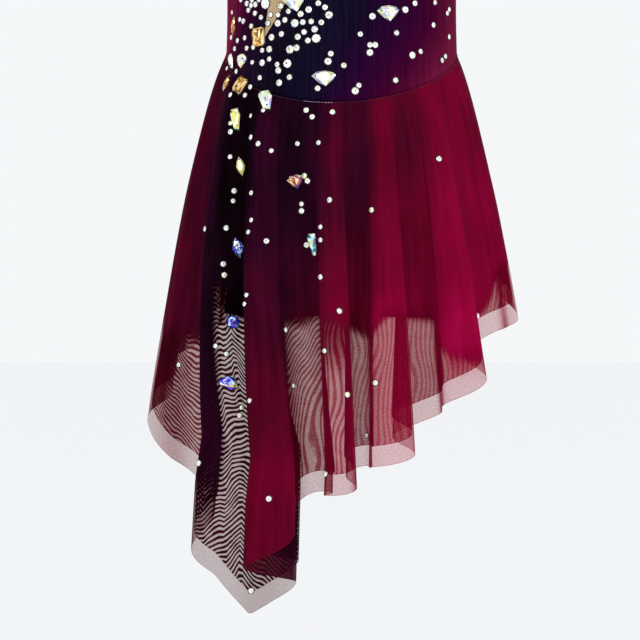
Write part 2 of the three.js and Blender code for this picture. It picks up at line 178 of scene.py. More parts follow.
def grid_faces(rows: int, columns: int) -> Array:
    """Numbers the quads of a grid whose rows run upwards and columns to the right.

    Args:
        rows: Rows of points.
        columns: Points in a row.

    Returns:
        Four point numbers for each quad, counter-clockwise as seen from outside.
    """
    corner = (np.arange(rows - 1)[:, None] * columns + np.arange(columns - 1)).ravel()
    return np.stack([corner, corner + 1, corner + 1 + columns, corner + columns], axis=1)


def put_mesh(
    name: str,
    points: Array,
    faces: Array,
    material: bpy.types.Material,
    uv: Array | None = None,
    values: dict[str, Array] | None = None,
    smooth: bool = True,
) -> bpy.types.Object:
    """Puts a mesh into the scene, riding on the dress.

    Args:
        name: The piece's name.
        points: Points in millimetres, one a row.
        faces: Point numbers, one face a row.
        material: The finish.
        uv: A place on the cloth for each point, in millimetres.
        values: Named numbers, one for each point, or one colour for each face.
        smooth: True for a smooth surface, False for facets.

    Returns:
        The new object, at the origin.
    """
    mesh = bpy.data.meshes.new(name)
    mesh.from_pydata((points * MM).tolist(), [], faces.tolist())
    if uv is not None:
        layer = mesh.uv_layers.new(name="cloth_mm")
        layer.data.foreach_set("uv", uv[faces.ravel()].astype(np.float32).ravel())
    for label, numbers in (values or {}).items():
        coloured = numbers.ndim == 2
        kind = ("FLOAT_COLOR", "FACE") if coloured else ("FLOAT", "POINT")
        kept = mesh.attributes.new(label, *kind)
        kept.data.foreach_set("color" if coloured else "value", numbers.astype(np.float32).ravel())
    mesh.polygons.foreach_set("use_smooth", np.full(len(faces), smooth))
    mesh.materials.append(material)
    mesh.update()
    piece = bpy.data.objects.new(name, mesh)
    bpy.context.scene.collection.objects.link(piece)
    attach(piece, BODY)
    LOG.info("%s: %d points, %d faces", name, len(points), len(faces))
    return piece


def make_wall(piece: bpy.types.Object, thickness: float, reach: float = 0.02) -> None:
    """Closes a knit piece's seams and gives it its wall, inwards from its outer face.

    Args:
        piece: The piece.
        thickness: The wall's thickness in millimetres.
        reach: Points nearer than this are one, in millimetres.
    """
    work = bmesh.new()
    work.from_mesh(piece.data)
    bmesh.ops.remove_doubles(work, verts=work.verts, dist=reach * MM)
    work.to_mesh(piece.data)
    work.free()
    wall = piece.modifiers.new("wall", "SOLIDIFY")
    wall.thickness = thickness * MM
    wall.offset = -1.0
    wall.use_even_offset = True


# ------------------------------------------------------------------ finishes


@dataclass(frozen=True)
class Finish:
    """A material. Each kind of finish adds its own shader, and `make` wires it up."""

    name: str

    def shader(self, tree: bpy.types.NodeTree) -> bpy.types.Node:
        """Adds the finish's nodes and returns the last one."""
        raise NotImplementedError

    def make(self) -> bpy.types.Material:
        """Builds the material, or returns the one that is there already."""
        if self.name in bpy.data.materials:
            return bpy.data.materials[self.name]
        material = bpy.data.materials.new(self.name)
        material.use_nodes = True
        material.node_tree.nodes.clear()
        last = self.shader(material.node_tree)
        add_node(material.node_tree, "OutputMaterial", {"Surface": last})
        return material


@dataclass(frozen=True)
class DyedKnit(Finish):
    """Matt nylon and elastane knit, dip dyed, with a faint rib.

    The dye comes from the piece's `tone_place`, with slow cloudy drift where the dye bath
    took unevenly, and thin streaks down the wales.
    """

    stops: Stops
    rib_mm: float = 2.0  # ten times the real wale, which is too fine to show

    def shader(self, tree: bpy.types.NodeTree) -> bpy.types.Node:
        """Adds the finish's nodes and returns the last one."""
        place = add_node(tree, "Attribute", attribute_name="tone_place").outputs["Fac"]
        cloth = add_node(tree, "UVMap", uv_map="cloth_mm")
        cloud = add_node(tree, "TexNoise", {"Vector": cloth, "Scale": 0.02, "Detail": 2.0})
        drift = add_node(tree, "MapRange", {0: cloud, 3: -0.05, 4: 0.05})
        moved = add_node(tree, "Math", {0: place, 1: drift}, operation="ADD")
        dye = add_node(tree, "ValToRGB", {"Fac": moved}, stops=self.stops)
        narrow = add_node(tree, "Mapping", {"Vector": cloth, "Scale": (0.35, 0.012, 1.0)})
        streak = add_node(tree, "TexNoise", {"Vector": narrow, "Scale": 1.0, "Detail": 2.0})
        depth = add_node(tree, "MapRange", {0: streak, **NOISE_SPAN, 3: 0.92, 4: 1.08})
        toned = add_node(tree, "Gamma", {"Color": dye, "Gamma": depth})
        rib = add_node(tree, "TexWave", {
            "Vector": cloth, "Scale": WAVE_PERIOD / self.rib_mm, "Distortion": 0.3,
        })
        bump = add_node(
            tree, "Bump", {"Height": rib.outputs["Fac"], "Strength": 0.1, "Distance": 0.0004}
        )
        return add_node(tree, "BsdfPrincipled", {
            "Base Color": toned, "Roughness": 0.7, "Specular IOR Level": 0.01, "Normal": bump,
        })


@dataclass(frozen=True)
class SheerMesh(Finish):
    """Stretch mesh, dip dyed: matt threads with open holes between them.

    The piece's numbers say how the light passes. `cover` counts how often 30 percent of
    the surface is threads, so folds and dense places are closed. `light` and `dark` count
    how often the light that gets through is tinted, outside and inside the watered bands
    that two meshes make together. Those bands are drawn at their real spacing, because
    the threads themselves are too fine to show.
    """

    stops: Stops
    dark_tint: str = "#dfd1cf"  # of light through the dark end of the dye
    red_tint: str = "#f3d4d6"  # and through its red end
    open_share: float = 0.70  # share of one layer that is holes
    weave_mm: float = 1.5  # three times the real mesh, which is too fine to show

    def shader(self, tree: bpy.types.NodeTree) -> bpy.types.Node:
        """Adds the finish's nodes and returns the last one."""
        number = {
            name: add_node(tree, "Attribute", attribute_name=name).outputs["Fac"]
            for name in ("tone_place", "cover", "light", "dark", "band", "to_hem")
        }
        cloth = add_node(tree, "UVMap", uv_map="cloth_mm")
        weave = add_node(
            tree, "TexNoise", {"Vector": cloth, "Scale": 1 / self.weave_mm, "Detail": 0.0}
        )
        grain = add_node(tree, "MapRange", {0: weave, **NOISE_SPAN, 3: 0.84, 4: 1.16})
        cut = add_node(tree, "MapRange", {0: number["to_hem"], 1: 0.3, 2: 1.1, 3: 1.7, 4: 1.0})
        dense = add_node(tree, "Math", {0: grain, 1: cut}, operation="MULTIPLY")

        angle = add_node(
            tree, "Math", {0: number["band"], 1: 2 * math.pi}, operation="MULTIPLY"
        )
        wave = add_node(tree, "Math", {0: angle}, operation="SINE")
        patch = add_node(tree, "TexNoise", {"Vector": cloth, "Scale": 0.09, "Detail": 2.0})
        thick = add_node(tree, "MapRange", {0: patch, **NOISE_SPAN, 3: -0.45, 4: 0.45})
        shifted = add_node(tree, "Math", {0: wave, 1: thick}, operation="ADD")
        banded = add_node(
            tree, "MapRange",
            {0: shifted, 1: -0.5, 2: 0.85, 3: number["light"], 4: number["dark"]},
            interpolation_type="SMOOTHSTEP",
        )
        times = add_node(tree, "Math", {0: banded, 1: dense}, operation="MULTIPLY")
        layers = add_node(tree, "Math", {0: number["cover"], 1: dense}, operation="MULTIPLY")

        cloud = add_node(tree, "TexNoise", {"Vector": cloth, "Scale": 0.015, "Detail": 3.0})
        drift = add_node(tree, "MapRange", {0: cloud, **NOISE_SPAN, 3: -0.07, 4: 0.07})
        # On the skirt tone_place holds the dip dye and the painted shade in the fold valleys.
        moved = add_node(tree, "Math", {0: number["tone_place"], 1: drift}, operation="ADD")
        dye = add_node(tree, "ValToRGB", {"Fac": moved}, stops=self.stops)
        narrow = add_node(tree, "Mapping", {"Vector": cloth, "Scale": (0.13, 0.012, 1.0)})
        streak = add_node(tree, "TexNoise", {"Vector": narrow, "Scale": 1.0, "Detail": 3.0})
        depth = add_node(tree, "MapRange", {0: streak, **NOISE_SPAN, 3: 0.94, 4: 1.07})
        toned = add_node(tree, "Gamma", {"Color": dye, "Gamma": depth})
        threads = add_node(tree, "BsdfPrincipled", {
            "Base Color": toned, "Roughness": 0.65, "Specular IOR Level": 0.01,
        })
        tint = add_node(tree, "MixRGB", {
            0: number["tone_place"], 1: linear(self.dark_tint), 2: linear(self.red_tint),
        })
        through = add_node(tree, "Gamma", {"Color": tint, "Gamma": times})
        clear = add_node(tree, "BsdfTransparent", {"Color": through})
        hole = add_node(tree, "Math", {0: self.open_share, 1: layers}, operation="POWER")
        return add_node(tree, "MixShader", {0: hole, 1: threads, 2: clear})


@dataclass(frozen=True)
class NudeMesh(Finish):
    """Nude stretch mesh, backed so that it reads as bare skin: matt, warm, fine-grained."""

    colour: str = "#b39c79"
    between: str = "#a48b68"
    weave_mm: float = 1.6  # three times the real mesh, which is too fine to show

    def shader(self, tree: bpy.types.NodeTree) -> bpy.types.Node:
        """Adds the finish's nodes and returns the last one."""
        cloth = add_node(tree, "UVMap", uv_map="cloth_mm")
        weave = add_node(tree, "TexVoronoi", {"Vector": cloth, "Scale": 1 / self.weave_mm})
        tone = add_node(
            tree, "ValToRGB", {"Fac": weave}, stops=((0.0, self.between), (0.7, self.colour))
        )
        bump = add_node(tree, "Bump", {"Height": weave, "Strength": 0.15, "Distance": 0.0003})
        return add_node(tree, "BsdfPrincipled", {
            "Base Color": tone, "Roughness": 0.75, "Specular IOR Level": 0.15, "Normal": bump,
        })


@dataclass(frozen=True)
class Crystal(Finish):
    """Cut crystal with a foil back: bright flat facets, each mirroring another way.

    Each facet carries one colour, partly the coating's tint and partly a painted reflection.
    The facets also glow faintly in that colour, painted light that keeps the stones bright
    on the dark cloth.
    """

    def shader(self, tree: bpy.types.NodeTree) -> bpy.types.Node:
        """Adds the finish's nodes and returns the last one."""
        facet = add_node(tree, "Attribute", attribute_name="facet").outputs["Color"]
        return add_node(tree, "BsdfPrincipled", {
            "Base Color": facet, "Metallic": 0.45, "Roughness": 0.14, "IOR": 1.56,
            "Coat Weight": 0.35, "Coat Roughness": 0.03,
            # painted light: a faint glow in each facet's own colour
            "Emission Color": facet, "Emission Strength": 0.16,
        })


@dataclass(frozen=True)
class Thread(Finish):
    """Spun polyester sewing thread: dull, with a faint twist along it."""

    dark: str
    pale: str

    def shader(self, tree: bpy.types.NodeTree) -> bpy.types.Node:
        """Adds the finish's nodes and returns the last one."""
        spot = add_node(tree, "TexCoord").outputs["Object"]
        twist = add_node(tree, "TexNoise", {"Vector": spot, "Scale": 900.0})
        tone = add_node(
            tree, "ValToRGB", {"Fac": twist}, stops=((0.35, self.dark), (0.65, self.pale))
        )
        return add_node(tree, "BsdfPrincipled", {"Base Color": tone, "Roughness": 0.8})


# ------------------------------------------------------------------ the figure


@dataclass(frozen=True)
class Figure:
    """The filled-out form: an ellipse at each height, and the slanted waist seam on it."""

    heights: tuple[float, ...] = (
        -640, -595, -500, -440, -385, -340, -290, -220, -165, -110, -60, -25, -8, 0,
    )
    half_widths: tuple[float, ...] = (
        121, 123, 123, 121, 118, 114.5, 113.5, 117, 122, 124, 121, 114, 107, 100,
    )
    half_depths: tuple[float, ...] = (
        96, 98, 98, 95, 90, 84.5, 80, 83, 88, 84, 70, 51, 34, 17,
    )
    seam_side: float = -341.0
    seam_slant: float = 38.5
    seam_vee: float = 7.8
    seam_lean: float = 4.4

    def width(self, z: Array) -> Array:
        """Half the figure's width at a height."""
        return monotone(self.heights, self.half_widths, z)

    def depth(self, z: Array) -> Array:
        """Half the figure's depth at a height."""
        return monotone(self.heights, self.half_depths, z)

    def seam(self, azimuth: Array) -> Array:
        """Height of the waist seam at an azimuth in radians, 0 in front, growing to +X."""
        c = np.cos(azimuth)
        slanted = self.seam_side - self.seam_slant * c - self.seam_vee * c * c
        return slanted + self.seam_lean * np.sin(azimuth) * c

    def point(self, azimuth: Array, z: Array, out: float = 0.0) -> Array:
        """Points on the figure at azimuths and heights, moved out by `out`."""
        x = (self.width(z) + out) * np.sin(azimuth)
        y = -(self.depth(z) + out) * np.cos(azimuth)
        return np.stack(np.broadcast_arrays(x, y, z), axis=-1)


# ------------------------------------------------------------------ the skirt


class Fold(NamedTuple):
    """One fold: azimuths in degrees, the rest in millimetres."""

    seam: float  # azimuth of the crest at the seam
    hem: float  # azimuth of the crest at the full fold
    proud: float  # how far the crest stands out of the flare
    edge_left: float  # offset of the left edge
    tuck_left: float  # offset of the tuck under the left edge
    edge_right: float
    tuck_right: float
    drop: float  # cloth length at the crest
    valley_seam: float  # the same for the valley that follows
    valley_hem: float
    valley_depth: float
    valley_drop: float


class Crease(NamedTuple):
    """A soft ridge, or a trough where its height is negative, along the fall of the cloth."""

    fold: float  # fold coordinate at its top
    lean: float  # how far it drifts in fold coordinates over the full length
    width: float  # half width in fold coordinates
    start: float  # share of the length where it starts
    end: float  # and where it ends
    height: float  # in millimetres


class Weave(NamedTuple):
    """How the inner layer lets light through at a fold coordinate, as in `SheerMesh`."""

    fold: float
    cover: float
    light: float
    dark: float


class Doubling(NamedTuple):
    """A place where the mesh is doubled or gathered so that it closes."""

    start: float  # fold coordinates
    end: float
    low: float  # drop down to which it reaches, in millimetres
    layers: float


class DyeAndShade(NamedTuple):
    """Place on the dye's scale at a fold coordinate: the dip dye, with painted shade darker in the
    valleys.
    """

    fold: float
    waist: float
    hem: float


class Layer(Enum):
    """The skirt's two layers of mesh."""

    OUTER = "outer"
    INNER = "inner"


class Ripple(NamedTuple):
    """One unevenness of the watered bands."""

    height: float  # counted in bands
    across: float  # its size round the cloth, in millimetres
    along: float  # and down it
    seed: float


@dataclass(frozen=True)
class Bands:
    """The watered bands that the two meshes make together, in millimetres.

    On the long side they lie across the fall and hang down from the middle of the valley
    as chevrons that get steeper towards the hem. In the middle they lie across it for a
    hand's breadth and then turn along it, like wood grain: the drop counts fully above
    the turn and hardly at all below it. On the short side they run along the fall and
    swirl.
    """

    long_pitch: float = 4.8  # down the fall
    chevron_folds: tuple[float, ...] = (-0.5, 0.75, 1.12, 1.75)  # fold coordinates
    chevron_rises: tuple[float, ...] = (-0.9, 0.35, 0.0, 0.65)
    chevron_bands: float = 14.0  # how many bands a rise of 1 is, and twice that at the hem
    steep_from: float = 230.0  # drop at which the chevrons begin to steepen
    steep_over: float = 150.0
    long_ripples: tuple[Ripple, ...] = (Ripple(0.9, 22, 60, 0.4), Ripple(0.5, 70, 150, 2.9))
    middle_from: float = 2.02  # fold coordinate
    middle_pitch: float = 5.5  # down the fall
    grain_pitch: float = 4.5  # round the cloth
    turn_drop: float = 285.0
    turn_soft: float = 15.0
    middle_ripples: tuple[Ripple, ...] = (Ripple(0.9, 24, 90, 1.3),)
    short_from: float = 2.86  # fold coordinate
    short_pitch: float = 4.6  # round the cloth
    short_fall: float = 60.0  # down the fall
    short_ripples: tuple[Ripple, ...] = (Ripple(1.1, 34, 90, 2.1),)

    @staticmethod
    def uneven(ripples: Sequence[Ripple], across: Array, drop: Array) -> Array:
        """Adds up the ripples of one side."""
        return sum(r.height * wobble(across / r.across, drop / r.along, r.seed) for r in ripples)

    def phase(self, near: Array, across: Array, drop: Array) -> Array:
        """Counts the bands.

        Args:
            near: Fold coordinates, from -1 up.
            across: Distance round the cloth.
            drop: Distance from the seam.

        Returns:
            The number of bands passed.
        """
        slant = np.interp(near, self.chevron_folds, self.chevron_rises)
        ease = smoothstep((drop - self.steep_from) / self.steep_over)
        steep = self.chevron_bands + self.chevron_bands * ease
        long_side = drop / self.long_pitch - steep * slant
        long_side = long_side + self.uneven(self.long_ripples, across, drop)
        past = np.log1p(np.exp((drop - self.turn_drop) / self.turn_soft))
        turned = drop - self.turn_soft * past
        middle = turned / self.middle_pitch + across / self.grain_pitch
        middle = middle + self.uneven(self.middle_ripples, across, drop)
        short_side = drop / self.short_fall + across / self.short_pitch
        short_side = short_side + self.uneven(self.short_ripples, across, drop)
        rest = np.where(near < self.short_from, middle, short_side)
        return np.where(near < self.middle_from, long_side, rest)


SKIRT_DYE: Stops = (
    (0.00, "#080104"), (0.12, "#170312"), (0.25, "#2a031b"), (0.40, "#40041c"),
    (0.55, "#5a0420"), (0.70, "#740229"), (0.85, "#880232"), (1.00, "#a00a42"),
)


@dataclass
class Skirt:
    """The asymmetric two-layer skirt, in deep folds from the waist seam to the hem."""

    figure: Figure
    folds: tuple[Fold, ...] = (
        Fold(-90, -84, 0, 16, 6, 24, 34, 366, -74, -48, 38, 408),
        Fold(-62, -35, -3, 42, 3, 24, 42, 484, -50, -10.5, 48, 482),
        Fold(-38, -20, 12, 32, -4, 30, 10, 443, -21, -9.5, 46, 376),
        Fold(-4, -0.5, 0, 23, -2, 23, -4, 376, 6, 6.2, 46, 352),
        Fold(17, 14.3, 0, 30, 12, 38, -22, 352, 29, 32, 44, 316),
        Fold(40, 41, 0, 35, 18, 42, -26, 298, 60, 62, 34, 256),
        Fold(76, 82, 0, 20, 10, 18, 8, 256, 90, 95, 30, 236),
        Fold(104, 106, 0, 20, 8, 20, 8, 228, 116, 119, 32, 252),
        Fold(129, 131, 0, 20, 8, 20, 8, 286, 142, 144, 34, 294),
        Fold(156, 157, 0, 20, 8, 20, 8, 300, 168, 169, 34, 298),
        Fold(181, 181, 0, 20, 8, 20, 8, 298, 193, 193, 34, 298),
        Fold(205, 206, 0, 20, 8, 20, 8, 300, 217, 218, 34, 300),
        Fold(229, 230, 0, 20, 8, 20, 8, 306, 241, 242, 32, 312),
        Fold(250, 253, 0, 18, 9, 14, 8, 324, 260, 266, 28, 344),
    )
    creases: tuple[Crease, ...] = (
        Crease(0.12, 0.10, 0.06, 0.10, 0.95, 2.2),
        Crease(0.30, -0.06, 0.05, 0.30, 1.10, -1.8),
        Crease(0.62, 0.04, 0.05, 0.10, 0.80, 1.6),
        Crease(1.02, 0.05, 0.03, 0.15, 0.85, 1.6),
        Crease(1.16, -0.04, 0.03, 0.55, 1.20, 2.0),
        Crease(1.98, 0.05, 0.04, 0.10, 0.80, 1.4),
        Crease(2.12, -0.05, 0.04, 0.35, 1.10, -1.6),
        Crease(2.52, 0.02, 0.04, 0.20, 0.90, 2.0),
        Crease(2.68, -0.06, 0.05, 0.05, 0.60, -1.8),
        Crease(3.02, -0.04, 0.04, 0.10, 0.70, 1.6),
        Crease(3.50, 0.05, 0.05, 0.30, 1.10, -2.0),
        Crease(3.96, 0.04, 0.03, 0.15, 0.95, 1.8),
        Crease(4.47, -0.04, 0.03, 0.25, 1.10, 2.0),
        Crease(4.72, 0.05, 0.05, 0.10, 0.90, -1.8),
        Crease(5.05, 0.10, 0.05, 0.05, 0.70, 2.0),
        Crease(5.55, 0.08, 0.05, 0.05, 0.95, 2.2),
        Crease(6.10, -0.08, 0.05, 0.15, 0.85, -1.8),
        Crease(7.02, 0.06, 0.06, 0.10, 0.85, 2.0),
        Crease(8.10, -0.05, 0.06, 0.20, 0.90, 2.2),
        Crease(8.55, 0.05, 0.05, 0.05, 0.70, -1.6),
        Crease(9.00, 0.08, 0.05, 0.10, 0.70, -2.0),
        Crease(10.05, -0.07, 0.06, 0.25, 0.95, 2.2),
        Crease(11.02, 0.05, 0.06, 0.10, 0.80, 2.0),
        Crease(12.05, -0.06, 0.05, 0.15, 0.90, -2.0),
        Crease(13.02, 0.06, 0.06, 0.10, 0.90, 2.2),
    )
    weaves: tuple[Weave, ...] = (
        Weave(0.0, 0.9, 0.4, 6.0),
        Weave(0.6, 0.9, 0.3, 7.0),
        Weave(0.9, 0.45, 0.06, 11.0),
        Weave(1.7, 0.45, 0.06, 11.0),
        Weave(2.2, 1.3, 0.8, 4.4),
        Weave(3.0, 1.3, 0.8, 4.0),
        Weave(3.4, 1.7, 1.2, 3.2),
        Weave(12.6, 1.7, 1.2, 3.2),
        Weave(13.4, 0.9, 0.4, 6.0),
    )
    # Real dip dye with painted shade: the place drops in the valleys between folds and rises on
    # the crests.
    dye_and_shade: tuple[DyeAndShade, ...] = (
        DyeAndShade(0.00, 0.44, 0.50),
        DyeAndShade(0.45, 0.34, 0.44),
        DyeAndShade(0.80, 0.25, 0.26),
        DyeAndShade(1.10, 0.02, 0.12),
        DyeAndShade(1.40, 0.02, 0.14),
        DyeAndShade(1.80, 0.05, 0.50),
        DyeAndShade(1.95, 0.21, 0.60),
        DyeAndShade(2.15, 0.19, 0.57),
        DyeAndShade(2.30, 0.11, 0.52),
        DyeAndShade(2.55, 0.13, 0.62),
        DyeAndShade(2.80, 0.25, 0.72),
        DyeAndShade(3.00, 0.43, 0.80),
        DyeAndShade(3.35, 0.32, 0.72),
        DyeAndShade(3.70, 0.36, 0.74),
        DyeAndShade(3.96, 0.56, 0.92),
        DyeAndShade(4.45, 0.46, 0.78),
        DyeAndShade(4.80, 0.52, 0.82),
        DyeAndShade(5.10, 0.68, 0.88),
        DyeAndShade(5.80, 0.66, 0.76),
        DyeAndShade(6.50, 0.60, 0.82),
        DyeAndShade(8.00, 0.56, 0.82),
        DyeAndShade(10.0, 0.48, 0.74),
        DyeAndShade(12.0, 0.42, 0.59),
    )
    dip_start: float = 0.15  # share of the length where the hem's dye begins
    dip_reach: float = 0.72
    doublings: tuple[Doubling, ...] = (
        Doubling(0.76, 0.99, 385, 4.0),
        Doubling(1.55, 1.80, 700, 4.0),
        Doubling(1.82, 2.24, 700, 4.5),
        Doubling(2.80, 2.87, 700, 2.6),
        Doubling(2.80, 3.16, 238, 2.6),
        Doubling(3.09, 3.16, 700, 2.0),
        Doubling(4.90, 5.30, 262, 2.4),
    )
    # Drop down to which the gathered mesh is closed, by fold coordinate.
    shut: tuple[tuple[float, float], ...] = (
        (0.0, 262), (0.6, 262), (0.95, 215), (1.2, 197), (1.75, 197), (2.3, 208), (2.75, 208),
        (3.3, 206), (3.7, 216), (4.2, 205), (4.7, 222), (5.1, 258), (5.45, 228), (5.8, 200),
        (6.3, 192), (8.0, 190), (12.0, 210), (13.2, 262),
    )
    shut_layers: float = 6.0
    shut_soft: float = 24.0
    shut_uneven: float = 12.0
    # That line's unevenness as sines: height, waves in a round and phase.
    shut_waves: tuple[tuple[float, int, int], ...] = ((0.5, 9, 0), (0.3, 23, 1), (0.2, 41, 0))
    doubling_side: float = 0.04  # softness of a doubling's sides, in fold coordinates
    doubling_foot: float = 60.0  # and of its lower edge, in millimetres
    crease_fade: float = 0.15  # share of the length over which a crease begins and ends
    bands: Bands = Bands()
    outer_tint: float = 0.75  # how often the outer layer alone tints the light
    flare_drops: tuple[float, ...] = (0, 20, 45, 85, 145, 245, 365, 540)
    flare_reaches: tuple[float, ...] = (0, 9, 17.5, 28.5, 43, 62, 82, 100)
    flare_depth: float = 0.85  # the flare front to back, as a share of side to side
    full_fold_drop: float = 350.0  # drop at which a fold has its full size
    growth_limit: float = 1.12
    edge_depth: float = 0.2  # depth of an edge, as a share of the valley's
    tuck_depth: float = 0.58
    sideways_growth: float = 1.1
    inward_growth: float = 0.85
    side_turn: float = 0.45  # turns the side folds' depth from inward to front-back
    corner_fold: float = 1.19  # the long corner of the cut
    corner_extra: float = 31.0
    corner_before: float = 0.2
    corner_after: float = 0.31
    left_seam: float = 0.0  # fold coordinates of the side seams
    right_seam: float = 6.5
    columns_per_fold: int = 44
    rows: int = 120
    wall: float = 1.2  # from the outer layer's face to the inner layer
    seam_gap: float = 0.3
    spread: float = 0.3  # further gap between the layers at this drop
    spread_drop: float = 250.0
    inner_rise: float = 20.0  # the inner layer is this much shorter
    ragged: float = 0.7  # unevenness of the cut hem
    most_crowded: float = 5.0
    knots: dict[str, Array] = field(default_factory=dict)

    def __post_init__(self) -> None:
        """Works out the six knots of each fold, as closed lists for the splines."""
        rows: list[tuple[float, ...]] = []
        count = len(self.folds)
        for index, fold in enumerate(self.folds):
            after = self.folds[(index + 1) % count]
            turn = 360.0 if index == count - 1 else 0.0
            rows.append((fold.seam, fold.hem, 0.0, -fold.proud, fold.drop))
            right = ((fold.edge_right, self.edge_depth), (fold.tuck_right, self.tuck_depth))
            for step, (offset, share) in enumerate(right, start=1):
                rows.append((
                    fold.seam + (fold.valley_seam - fold.seam) * step / 3,
                    fold.hem,
                    offset,
                    share * fold.valley_depth - fold.proud,
                    fold.drop + (fold.valley_drop - fold.drop) * step / 3,
                ))
            rows.append(
                (fold.valley_seam, fold.valley_hem, 0.0, fold.valley_depth, fold.valley_drop)
            )
            left = ((after.tuck_left, self.tuck_depth), (after.edge_left, self.edge_depth))
            for step, (offset, share) in enumerate(left, start=1):
                rows.append((
                    fold.valley_seam + (after.seam + turn - fold.valley_seam) * step / 3,
                    after.hem + turn,
                    -offset,
                    share * fold.valley_depth - after.proud,
                    fold.valley_drop + (after.drop - fold.valley_drop) * step / 3,
                ))
        keys = ("seam", "hem", "side", "inward", "drop")
        self.knots = dict(zip(keys, np.array(rows, float).T))

    def spline(self, key: str, fold: Array, turn: float = 0.0) -> Array:
        """Smooths one of the knot lists at fold coordinates."""
        return closed_spline(self.knots[key], fold * KNOTS, turn)

    def length(self, fold: Array) -> Array:
        """Length of the cloth from the seam to the hem, with the cut's long corner."""
        away = fold - self.corner_fold
        share = 1 - np.maximum(-away / self.corner_before, away / self.corner_after)
        return self.spline("drop", fold) + self.corner_extra * np.maximum(share, 0.0)

    def surface(self, fold: Array, down: Array) -> tuple[Array, Array]:
        """Works out the outer layer's face.

        The flare is an ellipse that widens with the drop. The fold's knots move each
        point inwards and sideways from it by amounts that grow with the drop.

        Args:
            fold: Fold coordinates, counting round the skirt.
            down: Shares of the cloth's length, 0 at the seam and 1 at the hem.

        Returns:
            The points, and the flare's own outward direction at each.
        """
        seam_azimuth = self.spline("seam", fold, 360.0)
        hem_azimuth = self.spline("hem", fold, 360.0)
        drop = down * self.length(fold)
        share = drop / self.full_fold_drop
        turned = seam_azimuth + (hem_azimuth - seam_azimuth) * np.minimum(share, 1.0)
        azimuth = np.radians(turned)
        seam_z = self.figure.seam(np.radians(seam_azimuth))
        reach = monotone(self.flare_drops, self.flare_reaches, drop)
        growth = np.minimum(share, self.growth_limit)
        in_x = -self.side_turn * np.sin(azimuth)
        in_y = np.cos(azimuth)
        length = np.hypot(in_x, in_y)
        inward = self.spline("inward", fold) * growth**self.inward_growth / length
        side = self.spline("side", fold) * growth**self.sideways_growth / length
        half_width = self.figure.width(seam_z) + reach
        half_depth = self.figure.depth(seam_z) + self.flare_depth * reach
        x = half_width * np.sin(azimuth) + in_x * inward + in_y * side
        y = -half_depth * np.cos(azimuth) + in_y * inward - in_x * side
        outward = unit(np.stack([-in_x, -in_y, 0 * in_x], axis=-1))
        return np.stack([x, y, seam_z - drop], axis=-1), outward

    def crease_height(self, fold: Array, down: Array) -> Array:
        """Adds up the creases: each a bell across the cloth that fades at both ends."""
        count = len(self.folds)
        total = np.zeros(np.broadcast(fold, down).shape)
        for crease in self.creases:
            away = fold - crease.fold - crease.lean * down
            away = (away + count / 2) % count - count / 2
            ends = smoothstep((down - crease.start) / self.crease_fade)
            ends = ends * smoothstep((crease.end - down) / self.crease_fade)
            total = total + crease.height * np.exp(-((away / crease.width) ** 2)) * ends
        return total

    def closing(self, fold: Array, drop: Array) -> Array:
        """How many layers' worth of mesh lie at a place.

        Down to an uneven line the skirt is gathered and closed all round. The line's
        unevenness is three sines that repeat with the round. Below the line the doublings
        close single places, with soft edges.
        """
        turn = 2 * np.pi * fold / len(self.folds)
        uneven = sum(high * np.sin(waves * turn + phase) for high, waves, phase in self.shut_waves)
        line = np.interp(fold, *np.array(self.shut).T, period=float(len(self.folds)))
        line = line + self.shut_uneven * uneven
        total = 1 + (self.shut_layers - 1) * smoothstep((line - drop) / self.shut_soft + 0.5)
        for place in self.doublings:
            sides = smoothstep((fold - place.start) / self.doubling_side + 0.5)
            sides = sides * smoothstep((place.end - fold) / self.doubling_side + 0.5)
            foot = smoothstep((place.low - drop) / self.doubling_foot + 0.5)
            total += (place.layers - 1) * sides * foot
        return total

    def build_layer(
        self, half: str, start: float, end: float, layer: Layer, finish: bpy.types.Material
    ) -> bpy.types.Object:
        """Builds one half of one layer as a thin sheet on a grid.

        The columns run round the skirt and the rows up from the hem. The layer is the
        face's grid, moved along the normals by the creases and by the layer's depth.

        Args:
            half: Which half, as the CAD names it.
            start: Fold coordinate of the half's first side seam.
            end: Fold coordinate of its second.
            layer: Which layer.
            finish: Its material.

        Returns:
            The piece.
        """
        inner = layer is Layer.INNER
        columns = int((end - start) * self.columns_per_fold) + 1
        column = np.linspace(start, end, columns)[None, :]
        uneven = self.ragged * (1 + wobble(column * 2.3, column * 0.7, 0.9))
        longest = 1 - (self.inner_rise * inner + uneven) / self.length(column)
        down = np.linspace(1.0, 0.0, self.rows)[:, None] * longest
        fold = column + 0 * down
        points, outward = self.surface(fold, down)
        step = 1e-3
        across = self.surface(fold + step, down)[0] - points
        lower, upper = np.minimum(down + step, 1.0), np.maximum(down - step, 0.0)
        along = self.surface(fold, lower)[0] - self.surface(fold, upper)[0]
        normal = unit(np.cross(along, across))
        drop = down * self.length(fold)
        depth = -self.crease_height(fold, down)
        if inner:
            gap = self.seam_gap + self.spread * np.minimum(drop / self.spread_drop, 1.0)
            depth = depth + self.wall + gap
        top = points[-1, :, 2].copy()
        points = points - normal * depth[..., None]
        points[-1, :, 2] = top

